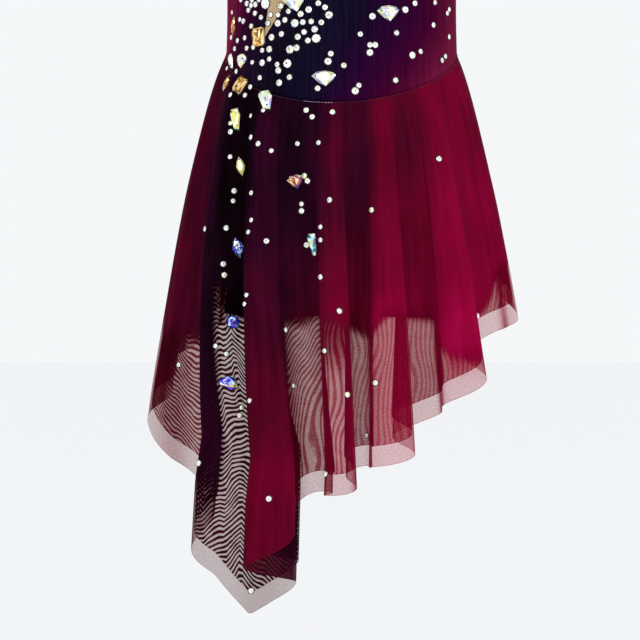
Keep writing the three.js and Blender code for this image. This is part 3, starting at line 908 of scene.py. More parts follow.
        facing = np.abs(np.sum(normal * outward, axis=-1))
        crowded = 1 / np.clip(facing, 1 / self.most_crowded, 1.0)
        closed = crowded * self.closing(fold, drop)
        chord = np.linalg.norm(np.diff(points[self.rows // 3], axis=0), axis=1)
        width = np.concatenate([[0.0], np.cumsum(chord)]) + 0 * drop
        tinted = closed * self.outer_tint
        numbers = {"cover": closed, "light": tinted, "dark": tinted, "band": 0 * drop}
        turns = float(len(self.folds))
        if inner:
            kept = np.array(self.weaves).T
            for name, row in zip(("cover", "light", "dark"), kept[1:]):
                numbers[name] = closed * np.interp(fold, kept[0], row, period=turns)
            near = (fold + 1) % len(self.folds) - 1
            numbers["band"] = self.bands.phase(near, width, drop)
        # The table gives the dip dye and the painted shade in the fold valleys.
        place, *ends = np.array(self.dye_and_shade).T
        waist, hem = (np.interp(fold, place, end, period=turns) for end in ends)
        dipped = smoothstep((down - self.dip_start) / self.dip_reach)
        numbers["tone_place"] = waist + (hem - waist) * dipped
        numbers["to_hem"] = (longest - down) * self.length(fold)
        piece = put_mesh(
            f"skirt_{layer.value}_{half}_mesh",
            points.reshape(-1, 3),
            grid_faces(self.rows, columns),
            finish,
            uv=np.stack([width, drop], axis=-1).reshape(-1, 2),
            values={name: grid.ravel() for name, grid in numbers.items()},
        )
        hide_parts(f"skirt_{layer.value}_{half}")
        return piece

    def build(self) -> Pieces:
        """Builds the four halves of the two layers."""
        turns = len(self.folds)
        finish = SheerMesh("sheer_stretch_mesh", SKIRT_DYE).make()
        halves = {"front": (self.left_seam, self.right_seam), "back": (self.right_seam, turns)}
        # The cut of each half: its width along the hem and its longest fall, in metres,
        # and its flat area in square metres.
        cuts = {
            ("front", Layer.OUTER): ((0.86, 0.52), 0.234),
            ("front", Layer.INNER): ((0.82, 0.50), 0.214),
            ("back", Layer.OUTER): ((0.66, 0.37), 0.147),
            ("back", Layer.INNER): ((0.62, 0.35), 0.132),
        }
        pieces = {}
        for (half, layer), (flat, area) in cuts.items():
            piece = self.build_layer(half, *halves[half], layer, finish)
            pieces[piece.name] = piece
        return pieces


# ------------------------------------------------------------------ the bodice


BODICE_DYE: Stops = (
    (0.00, "#7c1636"), (0.04, "#500a2b"), (0.10, "#2e0424"), (0.18, "#170a20"),
    (0.32, "#0e0818"), (0.50, "#0f0a20"), (0.60, "#140722"), (0.70, "#200226"),
    (0.80, "#2c0126"), (0.88, "#3a0126"), (0.95, "#4e082a"), (1.00, "#681234"),
)


@dataclass
class Bodice:
    """The sleeveless bodice: front and back panels, with a nude gore let into the front."""

    figure: Figure
    wall: float = 1.3
    neck_half: float = 54.0
    neck_front: float = 96.0
    neck_back: float = 150.0
    neck_straight: float = 0.25
    arm_inner: float = 84.0
    arm_bottom: float = 150.0
    arm_half: float = 60.0
    arm_straight: float = 0.6
    gore_tip: tuple[float, float] = (-76.0, -326.0)
    gore_left: Sequence[tuple[float, float]] = (
        (-71, -290), (-60, -235), (-46, -170), (-38, -60),
    )
    gore_right: Sequence[tuple[float, float]] = (
        (-54, -290), (-16, -222), (20, -150), (34, -60),
    )
    seam_gap: float = 0.3
    columns: int = 56
    rows: int = 53
    purple_from: float = -305.0  # below this the dye drifts on towards burgundy
    purple_rate: float = 0.0027
    gore_parting: float = 70.0  # under the neck, the gore's two bands come apart over this
    cloth_radius: float = 110.0  # turns azimuths into distances on the cloth
    first_guess: float = -300.0  # height at which the rounds of settling start
    rounds: int = 8
    arm_rows: int = 12  # beside the armhole, up to the neck's bottom
    neck_rows: int = 26
    shoulder_depths: tuple[float, ...] = (0.7, 0.35, 0.0)  # what is left over the shoulder

    def scoop(self, z: Array, depth: float, straight: float, half: float) -> Array:
        """Half width of a U-shaped opening at a height.

        Its sides are straight down to `straight` of its depth. Below that each side is
        a quadratic curve to the bottom: with t the curve's parameter, the height left
        above the bottom is the square of 1 - t, and the half width is 1 - t squared.

        Args:
            z: Heights, 0 at the shoulder.
            depth: How far the opening reaches down.
            straight: Share of that depth with straight sides.
            half: Half width of the straight part.

        Returns:
            The half width, 0 below the opening.
        """
        left = np.clip((z + depth) / (depth * (1 - straight)), 0.0, 1.0)
        t = 1 - np.sqrt(left)
        return half * (1 - t * t)

    def arm_edge(self, z: Array) -> Array:
        """Azimuth of the armhole's front edge, or of the side seam below it."""
        deep = self.scoop(z, self.arm_bottom, self.arm_straight, self.arm_half)
        share = np.clip(deep / self.figure.depth(z), 0.0, 1.0)
        x = np.maximum(self.figure.width(z) * np.sqrt(1 - share * share), self.arm_inner)
        return np.arcsin(np.clip(x / self.figure.width(z), 0.0, 1.0))

    def gore_edge(self, z: Array, side: Sequence[tuple[float, float]]) -> Array:
        """Where one edge of the gore runs, in the front view, at a height."""
        rows = sorted([self.gore_tip, *side], key=lambda row: row[1])
        return monotone([row[1] for row in rows], [row[0] for row in rows], z)

    def front_edges(self, part: str) -> Edges:
        """Returns the function from heights to the azimuths of a front band's two edges."""

        def edges(z: Array) -> tuple[Array, Array]:
            """Azimuths of the left and the right edge at the heights z."""
            width = self.figure.width(z)
            neck = self.scoop(z, self.neck_front, self.neck_straight, self.neck_half)
            open_neck = z > -self.neck_front
            left = self.gore_edge(z, self.gore_left)
            right = self.gore_edge(z, self.gore_right)
            middle = smoothstep((-self.neck_front - z) / self.gore_parting) * (left + right) / 2
            arm = width * np.sin(self.arm_edge(z))
            first, last = {
                "left": (-arm, np.where(open_neck, np.minimum(left, -neck), left)),
                "gore_left": (left, np.maximum(left, middle - neck)),
                "gore_right": (np.minimum(right, middle + neck), right),
                "right": (np.where(open_neck, np.maximum(right, neck), right), arm),
            }[part]
            start, end = (np.arcsin(np.clip(x / width, -1, 1)) for x in (first, last))
            return start, end

        return edges

    def back_edges(self, side: int) -> Edges:
        """Returns the same for a back band; side is 1 at +X and -1 at -X."""

        def edges(z: Array) -> tuple[Array, Array]:
            """Azimuths of the first and the last edge at the heights z."""
            half = self.scoop(z, self.neck_back, self.neck_straight, self.neck_half)
            neck = np.arcsin(half / self.figure.width(z))
            arm = self.arm_edge(z)
            return (np.pi - arm, np.pi - neck) if side > 0 else (np.pi + neck, np.pi + arm)

        return edges

    def band(self, edges: Edges, neck: float, lowest: float | None = None) -> tuple[Array, Array]:
        """Fills the cloth between two edges.

        Below the armhole a row is a level between the waist seam and the armhole's
        bottom, above it a height, and over the shoulder the depth goes to nothing. On a
        row the azimuth goes evenly from one edge to the other. An edge depends on the
        height and, under the armhole, the height on the azimuth, so that both are
        settled in a few rounds.

        Args:
            edges: The function from heights to the two edges' azimuths.
            neck: How far the neck opening reaches down on this side.
            lowest: The height of the gore's point where the band starts there.

        Returns:
            The points as a grid, and the azimuths.
        """
        share = np.linspace(0.0, 1.0, self.columns)[None, :]
        levels = np.linspace(0.0, 1.0, self.rows)[:, None]
        z = np.full((self.rows, self.columns), self.first_guess)
        for _ in range(self.rounds):
            left, right = edges(z)
            azimuth = left + (right - left) * share
            bottom = self.figure.seam(azimuth) + self.seam_gap
            bottom = bottom if lowest is None else np.full_like(bottom, lowest)
            z = bottom + (-self.arm_bottom - bottom) * levels
        beside = np.linspace(0.0, 1.0, self.arm_rows)[1:] ** 2
        lower = -self.arm_bottom + (self.arm_bottom - neck) * beside
        upper = -neck * (1 - np.linspace(0.0, 1.0, self.neck_rows)[1:] ** 2)
        over = np.array(self.shoulder_depths)
        heights = np.concatenate([lower if neck < self.arm_bottom else [], upper, 0 * over])
        high = np.repeat(heights[:, None], self.columns, axis=1)
        left, right = edges(high)
        azimuth = np.concatenate([azimuth, left + (right - left) * share])
        points = self.figure.point(azimuth, np.concatenate([z, high]))
        points[-len(over):, :, 1] *= over[:, None]
        return points, azimuth

    def panel(
        self, name: str, bands: list[tuple[Array, Array]], finish: bpy.types.Material,
        centre: float,
    ) -> bpy.types.Object:
        """Joins bands into one panel and sews them where they share an edge.

        Args:
            name: The piece's name.
            bands: Grids of points with their azimuths.
            finish: Its material.
            centre: Azimuth of the panel's middle.

        Returns:
            The piece, with its wall.
        """
        points, faces, cloth, place, count = [], [], [], [], 0
        for grid, azimuth in bands:
            away = azimuth - centre
            z = grid[..., 2]
            points.append(grid.reshape(-1, 3))
            faces.append(grid_faces(*azimuth.shape) + count)
            cloth.append(np.stack([away * self.cloth_radius, z], axis=-1).reshape(-1, 2))
            lower = self.purple_rate * np.maximum(self.purple_from - z, 0.0)
            place.append((0.5 + 0.5 * np.sin(away) + lower * np.cos(away)).ravel())
            count += azimuth.size
        piece = put_mesh(
            name,
            np.concatenate(points),
            np.concatenate(faces),
            finish,
            uv=np.concatenate(cloth),
            values={"tone_place": np.concatenate(place)},
        )
        make_wall(piece, self.wall)
        return piece

    def build(self) -> Pieces:
        knit = DyedKnit("dyed_stretch_knit", BODICE_DYE).make()
        nude = NudeMesh("nude_stretch_mesh").make()
        front = [self.band(self.front_edges(p), self.neck_front) for p in ("left", "right")]
        back = [self.band(self.back_edges(s), self.neck_back) for s in (1, -1)]
        gore = [
            self.band(self.front_edges(p), self.neck_front, self.gore_tip[1])
            for p in ("gore_left", "gore_right")
        ]
        made = {
            "bodice_front": (front, knit, 0.0, (0.37, 0.39), 0.078, "bodice"),
            "bodice_back": (back, knit, math.pi, (0.37, 0.35), 0.067, "bodice"),
            "bodice_gore": (gore, nude, 0.0, (0.11, 0.25), 0.0100, "gore"),
        }
        pieces = {}
        for node, (bands, finish, centre, flat, area, slot) in made.items():
            piece = self.panel(f"{node}_cloth", bands, finish, centre)
            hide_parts(node)
            pieces[piece.name] = piece
        return pieces


# ------------------------------------------------------------------ the briefs


@dataclass
class Briefs:
    """Short briefs under the skirt: each half runs from the waist seam into both legs."""

    figure: Figure
    wall: float = 1.2
    inset: float = 3.1
    hip_line: float = -500.0
    rings: tuple[tuple[float, float, float], ...] = ((-540, 117.5, 91), (-565, 113, 84))
    leg_bottom: float = -597.0
    leg_centre: float = 60.5
    leg_half_width: float = 57.0
    leg_half_depth: float = 76.0
    inner_turn: float = 50.0  # degrees of the leg's ring on each side of its inner point
    crotch_sag: float = 7.0
    columns: int = 60
    inner_columns: int = 24
    hip_rows: int = 22
    ring_rows: int = 12
    leg_rows: int = 8
    half_round: float = 380.0  # distance round one half on the cloth
    dye_width: float = 300.0  # from side to side, over which the dye's scale runs

    def outer_side(self, side: int) -> Array:
        """Rows from the seam down to the crotch line, from front centre to back centre."""
        azimuth = np.linspace(0.0, np.pi, self.columns)[None, :] * side
        level = np.linspace(0.0, 1.0, self.hip_rows)[:, None]
        top = self.figure.seam(azimuth)
        upper = self.figure.point(azimuth, top + (self.hip_line - top) * level, -self.inset)
        hip = np.array(self.hip_line)
        first = (self.hip_line, self.figure.width(hip) - self.inset,
                 self.figure.depth(hip) - self.inset)
        heights, widths, depths = zip(*(first, *self.rings)[::-1])
        z = np.linspace(self.hip_line, self.rings[-1][0], self.ring_rows)[1:, None]
        width, depth = monotone(heights, widths, z), monotone(heights, depths, z)
        flat = np.broadcast_arrays(width * np.sin(azimuth), -depth * np.cos(azimuth), z)
        return np.concatenate([upper, np.stack(flat, axis=-1)])

    def leg(self, side: int, hip_row: Array) -> Array:
        """Makes one leg as a short tube.

        Its first ring is the half hip's row closed by the crotch line, its last is an
        ellipse, and the rings between are blends of the two.
        """
        t = np.linspace(0.0, 1.0, self.inner_columns)[1:-1]
        crotch = hip_row[-1] + (hip_row[0] - hip_row[-1]) * t[:, None]
        crotch[:, 2] -= self.crotch_sag * np.sin(np.pi * t)
        first = np.concatenate([hip_row, crotch, hip_row[:1]])
        turn = math.radians(self.inner_turn)
        outer = np.linspace(turn - np.pi / 2, 1.5 * np.pi - turn, self.columns)
        inner = np.linspace(1.5 * np.pi - turn, 1.5 * np.pi + turn, self.inner_columns)[1:]
        angle = np.concatenate([outer, inner])
        x = side * (self.leg_centre + self.leg_half_width * np.sin(angle))
        y = -self.leg_half_depth * np.cos(angle)
        last = np.stack([x, y, np.full_like(x, self.leg_bottom)], axis=-1)
        share = np.linspace(0.0, 1.0, self.leg_rows)[:, None, None]
        ring = first + (last - first) * smoothstep(share)
        ring[..., 2] = first[:, 2] + (last[:, 2] - first[:, 2]) * share[..., 0]
        return ring

    def build(self) -> Pieces:
        """Builds the briefs as one piece over both nodes."""
        points, faces, cloth, count = [], [], [], 0
        for side in (1, -1):
            hip = self.outer_side(side)
            for grid in (hip, self.leg(side, hip[-1])):
                rows, columns = grid.shape[:2]
                quads = grid_faces(rows, columns) + count
                faces.append(quads[:, ::-1] if side > 0 else quads)
                points.append(grid.reshape(-1, 3))
                across = np.linspace(0.0, self.half_round, columns) * side + 0 * grid[..., 2]
                cloth.append(np.stack([across, grid[..., 2]], axis=-1).reshape(-1, 2))
                count += rows * columns
        every = np.concatenate(points)
        stops = ((0.0, "#13040c"), (0.5, "#0c030a"), (1.0, "#13040c"))
        piece = put_mesh(
            "briefs_cloth",
            every,
            np.concatenate(faces),
            DyedKnit("matt_brief_knit", stops).make(),
            uv=np.concatenate(cloth),
            values={"tone_place": 0.5 + every[:, 0] / self.dye_width},
        )
        make_wall(piece, self.wall)
        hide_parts("brief_front", "brief_back")
        return {piece.name: piece}


# ------------------------------------------------------------------ the stones


class CoatingAndGlint(Enum):
    """What a stone's facets show, the most common first: the coating's tints, and painted
    reflections, bright and dark facets that stand in for glitter.
    """

    CLEAR = ("#fdfdf8", "#f4f5e2", "#e4e6ee", "#c9cfae", "#ffffff", "#b8a9bd")
    PEARL = ("#fbfbe8", "#dfe8ae", "#cfe6f4", "#f5f1c4", "#c9b4e4", "#8fa0c8")
    GOLD = ("#d7a957", "#a06f28", "#f3dea4", "#6a3f14", "#e6c680", "#3a210a")
    YELLOW = ("#eee67e", "#fafad0", "#c9cc5a", "#f4f1ac", "#9cc4b0", "#ffffff")
    BLUE = ("#2438c8", "#a8c8fb", "#6a3ec0", "#f2d872", "#eef6ff", "#12135a")
    SUNSET = ("#b87430", "#7a3a86", "#f0d49a", "#4a2058", "#f4e9d0", "#9a4c3a")
    CYAN = ("#a4f0e6", "#e2c65c", "#f4fff8", "#36889e", "#c8dc9c", "#5a48a8")


class Cut(Enum):
    """A stone's outline, counter-clockwise in a box from -1 to 1, and its sewing holes."""

    ROUND = (
        ((1, 0), (0.71, 0.71), (0, 1), (-0.71, 0.71), (-1, 0), (-0.71, -0.71), (0, -1),
         (0.71, -0.71)), (),
    )
    MARQUISE = (
        ((0, 1), (-0.68, 0.5), (-1, 0), (-0.68, -0.5), (0, -1), (0.68, -0.5), (1, 0),
         (0.68, 0.5)), ((0, 0.74), (0, -0.74)),
    )
    CUSHION = (
        ((0.72, 1), (-0.72, 1), (-1, 0.78), (-1, -0.78), (-0.72, -1), (0.72, -1), (1, -0.78),
         (1, 0.78)), ((-0.6, 0.74), (0.6, -0.74)),
    )
    KITE = (
        ((-0.9, 0.86), (-1, 0.35), (0.05, -0.95), (1, -1), (0.92, 0.35), (0.25, 1)),
        ((-0.6, 0.6), (0.62, -0.66)),
    )
    FAN = (
        ((1, 0.42), (0.74, 0.78), (0.1, 1), (-0.6, 0.82), (-1, 0.3), (-0.35, -0.62),
         (0.19, -1), (0.8, -0.1)), ((-0.64, 0.26), (0.66, 0.4)),
    )
    OVAL = (
        ((0, 1), (-0.6, 0.78), (-1, 0.1), (-0.75, -0.7), (0, -1), (0.75, -0.7), (1, 0.1),
         (0.6, 0.78)), (),
    )


class Side(Enum):
    """From which side a stone is placed: the front or the back of the dress."""

    FRONT = -1
    BACK = 1


class Stone(NamedTuple):
    """One stone, placed in the front or the back view, in millimetres."""

    x: float
    z: float
    width: float
    height: float
    turn: float = 0.0  # degrees, counter-clockwise
    cut: Cut = Cut.ROUND
    coating: CoatingAndGlint = CoatingAndGlint.CLEAR
    side: Side = Side.FRONT


class Scatter(NamedTuple):
    """A field of rounds where no table places them, in millimetres."""

    side: Side
    count: int
    box: tuple[float, float, float, float]  # least and greatest x, least and greatest height
    tight: float  # how far from the gore's line they reach
    room: float  # least gap between two stones


SEWN_STONES = (
    Stone(-47, -288, 24, 20, 6, Cut.FAN, CoatingAndGlint.PEARL),
    Stone(-75.5, -290, 9.5, 11, 0, Cut.OVAL, CoatingAndGlint.CLEAR),
    Stone(-107, -312.5, 7, 19, -6, Cut.MARQUISE, CoatingAndGlint.GOLD),
    Stone(-82.5, -323, 14, 18, 8, Cut.CUSHION, CoatingAndGlint.GOLD),
    Stone(-98.7, -346.7, 14, 14, -14, Cut.FAN, CoatingAndGlint.PEARL),
    Stone(-109.5, -347, 9, 15, 10, Cut.KITE, CoatingAndGlint.CLEAR),
    Stone(-100.5, -370.8, 13, 17, -26, Cut.CUSHION, CoatingAndGlint.GOLD),
    Stone(-114, -368.8, 8, 17, -20, Cut.MARQUISE, CoatingAndGlint.GOLD),
    Stone(-76, -385.5, 16, 20, 0, Cut.KITE, CoatingAndGlint.PEARL),
    Stone(-105.8, -404.5, 11.5, 21, 0, Cut.KITE, CoatingAndGlint.YELLOW),
    Stone(-100.5, -451.5, 9, 19, 14, Cut.MARQUISE, CoatingAndGlint.YELLOW),
    Stone(-46, -467, 17, 14, 6, Cut.FAN, CoatingAndGlint.SUNSET),
    Stone(-17.7, -364.2, 24, 15, 0, Cut.FAN, CoatingAndGlint.PEARL),
    Stone(45.7, -299.7, 22.5, 15.5, 0, Cut.FAN, CoatingAndGlint.PEARL),
    Stone(-103.5, -532.5, 11, 20, 12, Cut.MARQUISE, CoatingAndGlint.BLUE),
    Stone(-28.5, -528, 13, 19, -4, Cut.KITE, CoatingAndGlint.CYAN),
    Stone(-108.5, -607, 13, 15, 40, Cut.MARQUISE, CoatingAndGlint.BLUE),
    Stone(-113.5, -669, 16, 14, 20, Cut.KITE, CoatingAndGlint.BLUE),
)

# Loose rounds on the skirt, by x and height in the front view.
SKIRT_ROUNDS = (
    (-77.8, -395.8), (-35.2, -395.7), (-29.2, -402.3), (-9.2, -397.5), (-90.2, -401.3),
    (-110.5, -408.7), (-110.5, -417.2), (-90.2, -422.7), (-83, -429), (-70, -436), (-44, -429),
    (-23, -428), (-111, -442), (-37, -461), (-34, -466), (-107, -476), (-108, -486),
    (-90, -478), (-90, -505), (-115, -513), (-93, -517), (-136, -514), (-75, -526),
    (-118, -549), (-117, -560), (-95, -580), (-97, -589), (-56, -615), (-126, -631),
    (-115, -639), (-163, -650), (-40, -489), (-40, -496), (-35, -530), (-27, -538),
    (-21, -512), (-21, -525), (-21, -562), (-12, -485), (30, -495), (97, -444), (-2, -596),
    (136, -601), (6, -680), (25, -721), (34, -668), (-48, -671), (-17, -636), (-16, -760),
    (-92, -686), (-100, -693), (-102, -701), (-143, -749), (-73, -785), (-91, -878),
)

# Rounds on the bodice: x and height in the front view, and diameter.
BODICE_ROUNDS = (
    (-99.8, -286.3, 5), (-89, -286.7, 5), (-82, -286.3, 5), (-94, -290, 5.5),
    (-89.8, -292, 5), (-85.5, -291, 5.5), (-92.5, -296.7, 5), (-86, -299.7, 5),
    (-80, -303.7, 5), (-108.5, -298.8, 4), (-101, -305.8, 4.5), (-97.5, -307.5, 5.5),
    (-89.8, -312.5, 5), (-73.2, -309.7, 5.5), (-70.5, -301.2, 5), (-63.2, -301.2, 5),
    (-60.5, -292.5, 6), (-52.8, -297.7, 5), (-56.2, -306.3, 5.5), (-63.3, -309.7, 6.5),
    (-46.5, -309.5, 8), (-40.7, -300.3, 6), (-38.5, -308.5, 5.5), (-32.7, -296, 6.5),
    (-30.2, -307.8, 5.5), (-23.2, -289.7, 5.5), (-16.5, -293.8, 5.5), (-12.5, -301.3, 7.5),
    (-20.2, -308.7, 5.5), (-26.8, -315.5, 6.5), (-37.3, -318.3, 5.5), (-25.2, -324.5, 8.5),
    (-33.5, -326.7, 5.5), (-43.5, -323, 6), (-59.7, -320.2, 5.5), (-69.5, -323.5, 6.5),
    (-96.2, -324, 5), (-103.3, -326.7, 5), (-109.3, -323.7, 5), (-106, -334.7, 5),
    (-94.3, -334.3, 5), (-87.7, -333.3, 5), (-78.8, -336.3, 5), (-71.7, -335.2, 6.5),
    (-51.2, -335.5, 8), (-44.8, -333.8, 6.5), (-10.7, -339.7, 5.5), (-13.5, -347.2, 7),
    (2.2, -351.3, 5.5), (-53.8, -349.5, 8.5), (-71.8, -345, 5), (-78.8, -348.7, 6.5),
    (-88.8, -348.3, 4.5), (-64, -350.3, 5), (-62.8, -356.3, 6.5), (-51.8, -363, 5.5),
    (-62, -368.5, 6.5), (-81.2, -363.5, 5), (-90.8, -372.7, 5), (-96, -380.8, 5),
    (-110.5, -380.5, 5), (-104.5, -357.2, 5), (-113.7, -354.2, 4.5), (-23.8, -374, 5.5),
    (30.5, -302.7, 6.5), (63.2, -296.2, 6.5), (28.2, -331, 5.5), (72.7, -289.8, 5.5),
    (92.5, -289, 5), (106.5, -296, 5), (104.7, -299.7, 5), (91, -311.3, 5.2),
    (54.5, -319.2, 5.2), (18.5, -320.3, 5.2), (33.3, -331, 5.8), (28, -338.5, 6.5),
    (78.3, -337.5, 5), (70.2, -341.2, 7), (106.5, -323, 5), (103, -342.3, 4.8),
    (99.7, -346.2, 5.2), (53.7, -366, 5.5), (17.2, -371, 5.2), (13.5, -376.5, 7),
)


@dataclass
class Stones:
    """Flat-backed crystals: large sewn ones, loose rounds and a dense cluster of rounds."""

    eye: Vector
    cloths: Sequence[bpy.types.Object]
    seed: int = 11
    scatters: tuple[Scatter, ...] = (
        Scatter(Side.FRONT, 120, (-110, 60, -281, -112), 30, 1.3),
        Scatter(Side.FRONT, 34, (-100, 104, -281, -60), 400, 9),
        Scatter(Side.BACK, 46, (-104, 104, -330, -170), 400, 9),
        Scatter(Side.BACK, 26, (-120, 120, -560, -350), 400, 9),
    )
    shadow_rim_width: float = 0.7  # width of the painted contact shadow, a dark rim round a stone
    hole_radius: float = 0.75
    weights: tuple[float, ...] = (0.34, 0.22, 0.16, 0.12, 0.10, 0.06)  # of the colours of a coating and its painted glints
    # near-black of the painted contact shadow round each stone; the sewing holes take the same
    # dark
    shadow_rim: str = "#0c0509"
    tables: tuple[str, ...] = ("#70704a", "#5c5468", "#8a8a6a")  # of the rounds
    lift: float = 0.15  # of the painted shadow rim over the cloth
    # Heights of the girdle, the crown's points and the table, as shares of a stone's size.
    levels: tuple[float, float, float] = (0.08, 0.26, 0.32)
    # Widths of the crown's points and the table, as shares of the outline's.
    round_widths: tuple[float, float] = (0.66, 0.24)
    sewn_widths: tuple[float, float] = (0.80, 0.46)
    hole_points: int = 8
    hole_levels: tuple[float, float] = (0.1, 0.31)
    pearl_share: float = 0.3  # of the rounds
    loose_sizes: tuple[float, float] = (4.6, 5.4)
    radii: tuple[float, ...] = (2.5, 2.75, 3.5)  # of the strewn rounds
    radius_shares: tuple[float, ...] = (0.55, 0.3, 0.15)
    line_at: tuple[float, float] = (-70.0, -290.0)  # the gore's line: x and height
    line_slant: float = 0.55
    tries_each: int = 40

    def __post_init__(self) -> None:
        """Gathers the cloths' faces for placing, and starts with no stone."""
        graph = bpy.context.evaluated_depsgraph_get()
        self.trees = [BVHTree.FromObject(cloth, graph) for cloth in self.cloths]
        self.random = np.random.default_rng(self.seed)
        self.kept = [(s.side, s.x, s.z, max(s.width, s.height) / 2) for s in SEWN_STONES]
        self.clear()

    def clear(self) -> None:
        """Starts a new piece."""
        self.points: list[Array] = []
        self.faces: list[Array] = []
        self.colours: list[Array] = []
        self.count = 0

    def seat(self, stone: Stone) -> tuple[Array, Array] | None:
        """Finds the cloth behind a stone's place.

        Args:
            stone: The stone.

        Returns:
            The place in millimetres and the frame (across, up, out of the cloth) as rows,
            or None where there is no cloth.
        """
        eye = Vector((self.eye.x, self.eye.y * -stone.side.value, self.eye.z))
        aim = (Vector((stone.x, 0.0, stone.z)) * MM - eye).normalized()
        hits = [hit for hit in (tree.ray_cast(eye, aim) for tree in self.trees) if hit[0]]
        if not hits:
            return None
        place, normal, _, _ = min(hits, key=lambda hit: hit[3])
        out = normal if normal.dot(aim) < 0 else -normal
        right = Vector((0, 0, 1)).cross(out).normalized()
        turn = math.radians(stone.turn)
        across = right * math.cos(turn) + out.cross(right) * math.sin(turn)
        return np.array(place) / MM, np.array([across, out.cross(across), out])

    def solid(self, rings: list[Array], colours: list[Array], frame: Array, place: Array) -> None:
        """Adds a faceted solid: rings of points joined by triangles, closed by two points.

        Args:
            rings: Rings of n points in the stone's own frame, from the cloth outwards.
            colours: For each step between rings 2n colours, and n for the top.
            frame: The stone's frame.
            place: Where it sits.
        """
        n = len(rings[0])
        ends = np.array([rings[-1].mean(axis=0), rings[0].mean(axis=0)])
        self.points.append(place + np.concatenate([*rings, ends]) @ frame)
        i = np.arange(n)
        j = (i + 1) % n
        top, base = np.full(n, n * len(rings)), np.full(n, n * len(rings) + 1)
        faces = [np.stack([j, i, base], 1)]
        for low in range(0, n * (len(rings) - 1), n):
            high = low + n
            faces.append(np.stack([low + i, low + j, high + i], 1))
            faces.append(np.stack([low + j, high + j, high + i], 1))
        last = (len(rings) - 1) * n
        faces.append(np.stack([last + i, last + j, top], 1))
        self.faces.append(np.concatenate(faces) + self.count)
        self.colours.append(np.concatenate([np.tile(colours[0][:1], (n, 1)), *colours]))
        self.count += n * len(rings) + 2

    def add(self, stone: Stone) -> bool:
        """Cuts one stone and seats it: a painted shadow rim, a girdle, crown facets and a table.

        Args:
            stone: The stone.

        Returns:
            False where there is no cloth behind it.
        """
        found = self.seat(stone)
        if found is None:
            return False
        place, frame = found
        outline = np.array(stone.cut.value[0], float) * (stone.width / 2, stone.height / 2)
        n, size = len(outline), min(stone.width, stone.height)
        small = stone.cut is Cut.ROUND
        between = (outline + np.roll(outline, -1, axis=0)) / 2
        shoulder, flat_top = self.round_widths if small else self.sewn_widths
        girdle_level, crown_level, table_level = self.levels
        flats = (
            # The first ring is the painted contact shadow: a dark rim just outside the stone.
            (outline * (1 + 2 * self.shadow_rim_width / size), self.lift),
            (outline, self.lift + girdle_level * size),
            (between * shoulder, crown_level * size),
            (outline * flat_top, table_level * size),
        )
        rings = [np.column_stack([flat, np.full(n, lift)]) for flat, lift in flats]
        palette = np.array([linear(code) for code in stone.coating.value])
        # Each crown facet draws a colour: a coating tint or a painted reflection.
        crown = palette[self.random.choice(len(palette), 4 * n, p=self.weights)]
        shadow_rim = np.tile(linear(self.shadow_rim), (2 * n, 1))
        table = palette[self.random.choice(len(palette), n, p=self.weights)]
        if small:
            table = np.tile(linear(str(self.random.choice(self.tables))), (n, 1))
        self.solid(rings, [shadow_rim, crown[: 2 * n], crown[2 * n :], table], frame, place)
        count = self.hole_points
        angle = np.arange(count) / count * 2 * np.pi
        circle = self.hole_radius * np.column_stack([np.cos(angle), np.sin(angle)])
        dark = np.tile(linear(self.shadow_rim), (2 * count, 1))
        for x, y in stone.cut.value[1]:
            middle = (x * stone.width / 2, y * stone.height / 2)
            stack = [
                np.column_stack([circle + middle, np.full(count, level * size)])
                for level in self.hole_levels
            ]
            self.solid(stack, [dark, dark[:count]], frame, place)
        return True

    def coat(self) -> CoatingAndGlint:
        """Draws the coating of a round, with its painted glints."""
        return CoatingAndGlint.PEARL if self.random.uniform() < self.pearl_share else CoatingAndGlint.CLEAR

    def scatter(self, field_of: Scatter) -> None:
        """Strews rounds where the tables have none, each clear of the others.

        A try is kept by chance, more often near the gore's slanting line, and where no
        kept stone is too near.

        Args:
            field_of: The field to fill.
        """
        placed = tries = 0
        while placed < field_of.count and tries < self.tries_each * field_of.count:
            tries += 1
            x = self.random.uniform(field_of.box[0], field_of.box[1])
            z = self.random.uniform(field_of.box[2], field_of.box[3])
            line = self.line_at[0] + (z - self.line_at[1]) * self.line_slant
            radius = float(self.random.choice(self.radii, p=self.radius_shares))
            if self.random.uniform() > math.exp(-(((x - line) / field_of.tight) ** 2)):
                continue
            if any(
                side is field_of.side and math.hypot(x - a, z - b) < radius + c + field_of.room
                for side, a, b, c in self.kept
            ):
                continue
            coating = self.coat()
            stone = Stone(x, z, 2 * radius, 2 * radius, coating=coating, side=field_of.side)
            if self.add(stone):
                self.kept.append((field_of.side, x, z, radius))
                placed += 1

    def finish(self, name: str) -> bpy.types.Object:
        """Makes one piece of the stones gathered so far, and starts the next."""
        piece = put_mesh(
            name,
            np.concatenate(self.points),
            np.concatenate(self.faces),
            Crystal("foiled_crystal").make(),
            values={"facet": np.concatenate(self.colours)},
            smooth=False,
        )
        self.clear()
        return piece

    def build(self) -> Pieces:
        """Places every stone, in three pieces."""
        for stone in SEWN_STONES:
            self.add(stone)
        sewn = self.finish("stones_sewn")
        for x, z in SKIRT_ROUNDS:
            size = float(self.random.choice(self.loose_sizes))
            coating = self.coat()
            self.add(Stone(x, z, size, size, coating=coating))
        loose = self.finish("stones_loose")
        for x, z, size in BODICE_ROUNDS:
            coating = self.coat()
            self.add(Stone(x, z, size, size, coating=coating))
            self.kept.append((Side.FRONT, x, z, size / 2))
        for field_of in self.scatters:
            self.scatter(field_of)
        return {piece.name: piece for piece in (sewn, loose, self.finish("stones_cluster"))}


# ------------------------------------------------------------------ the waist seam


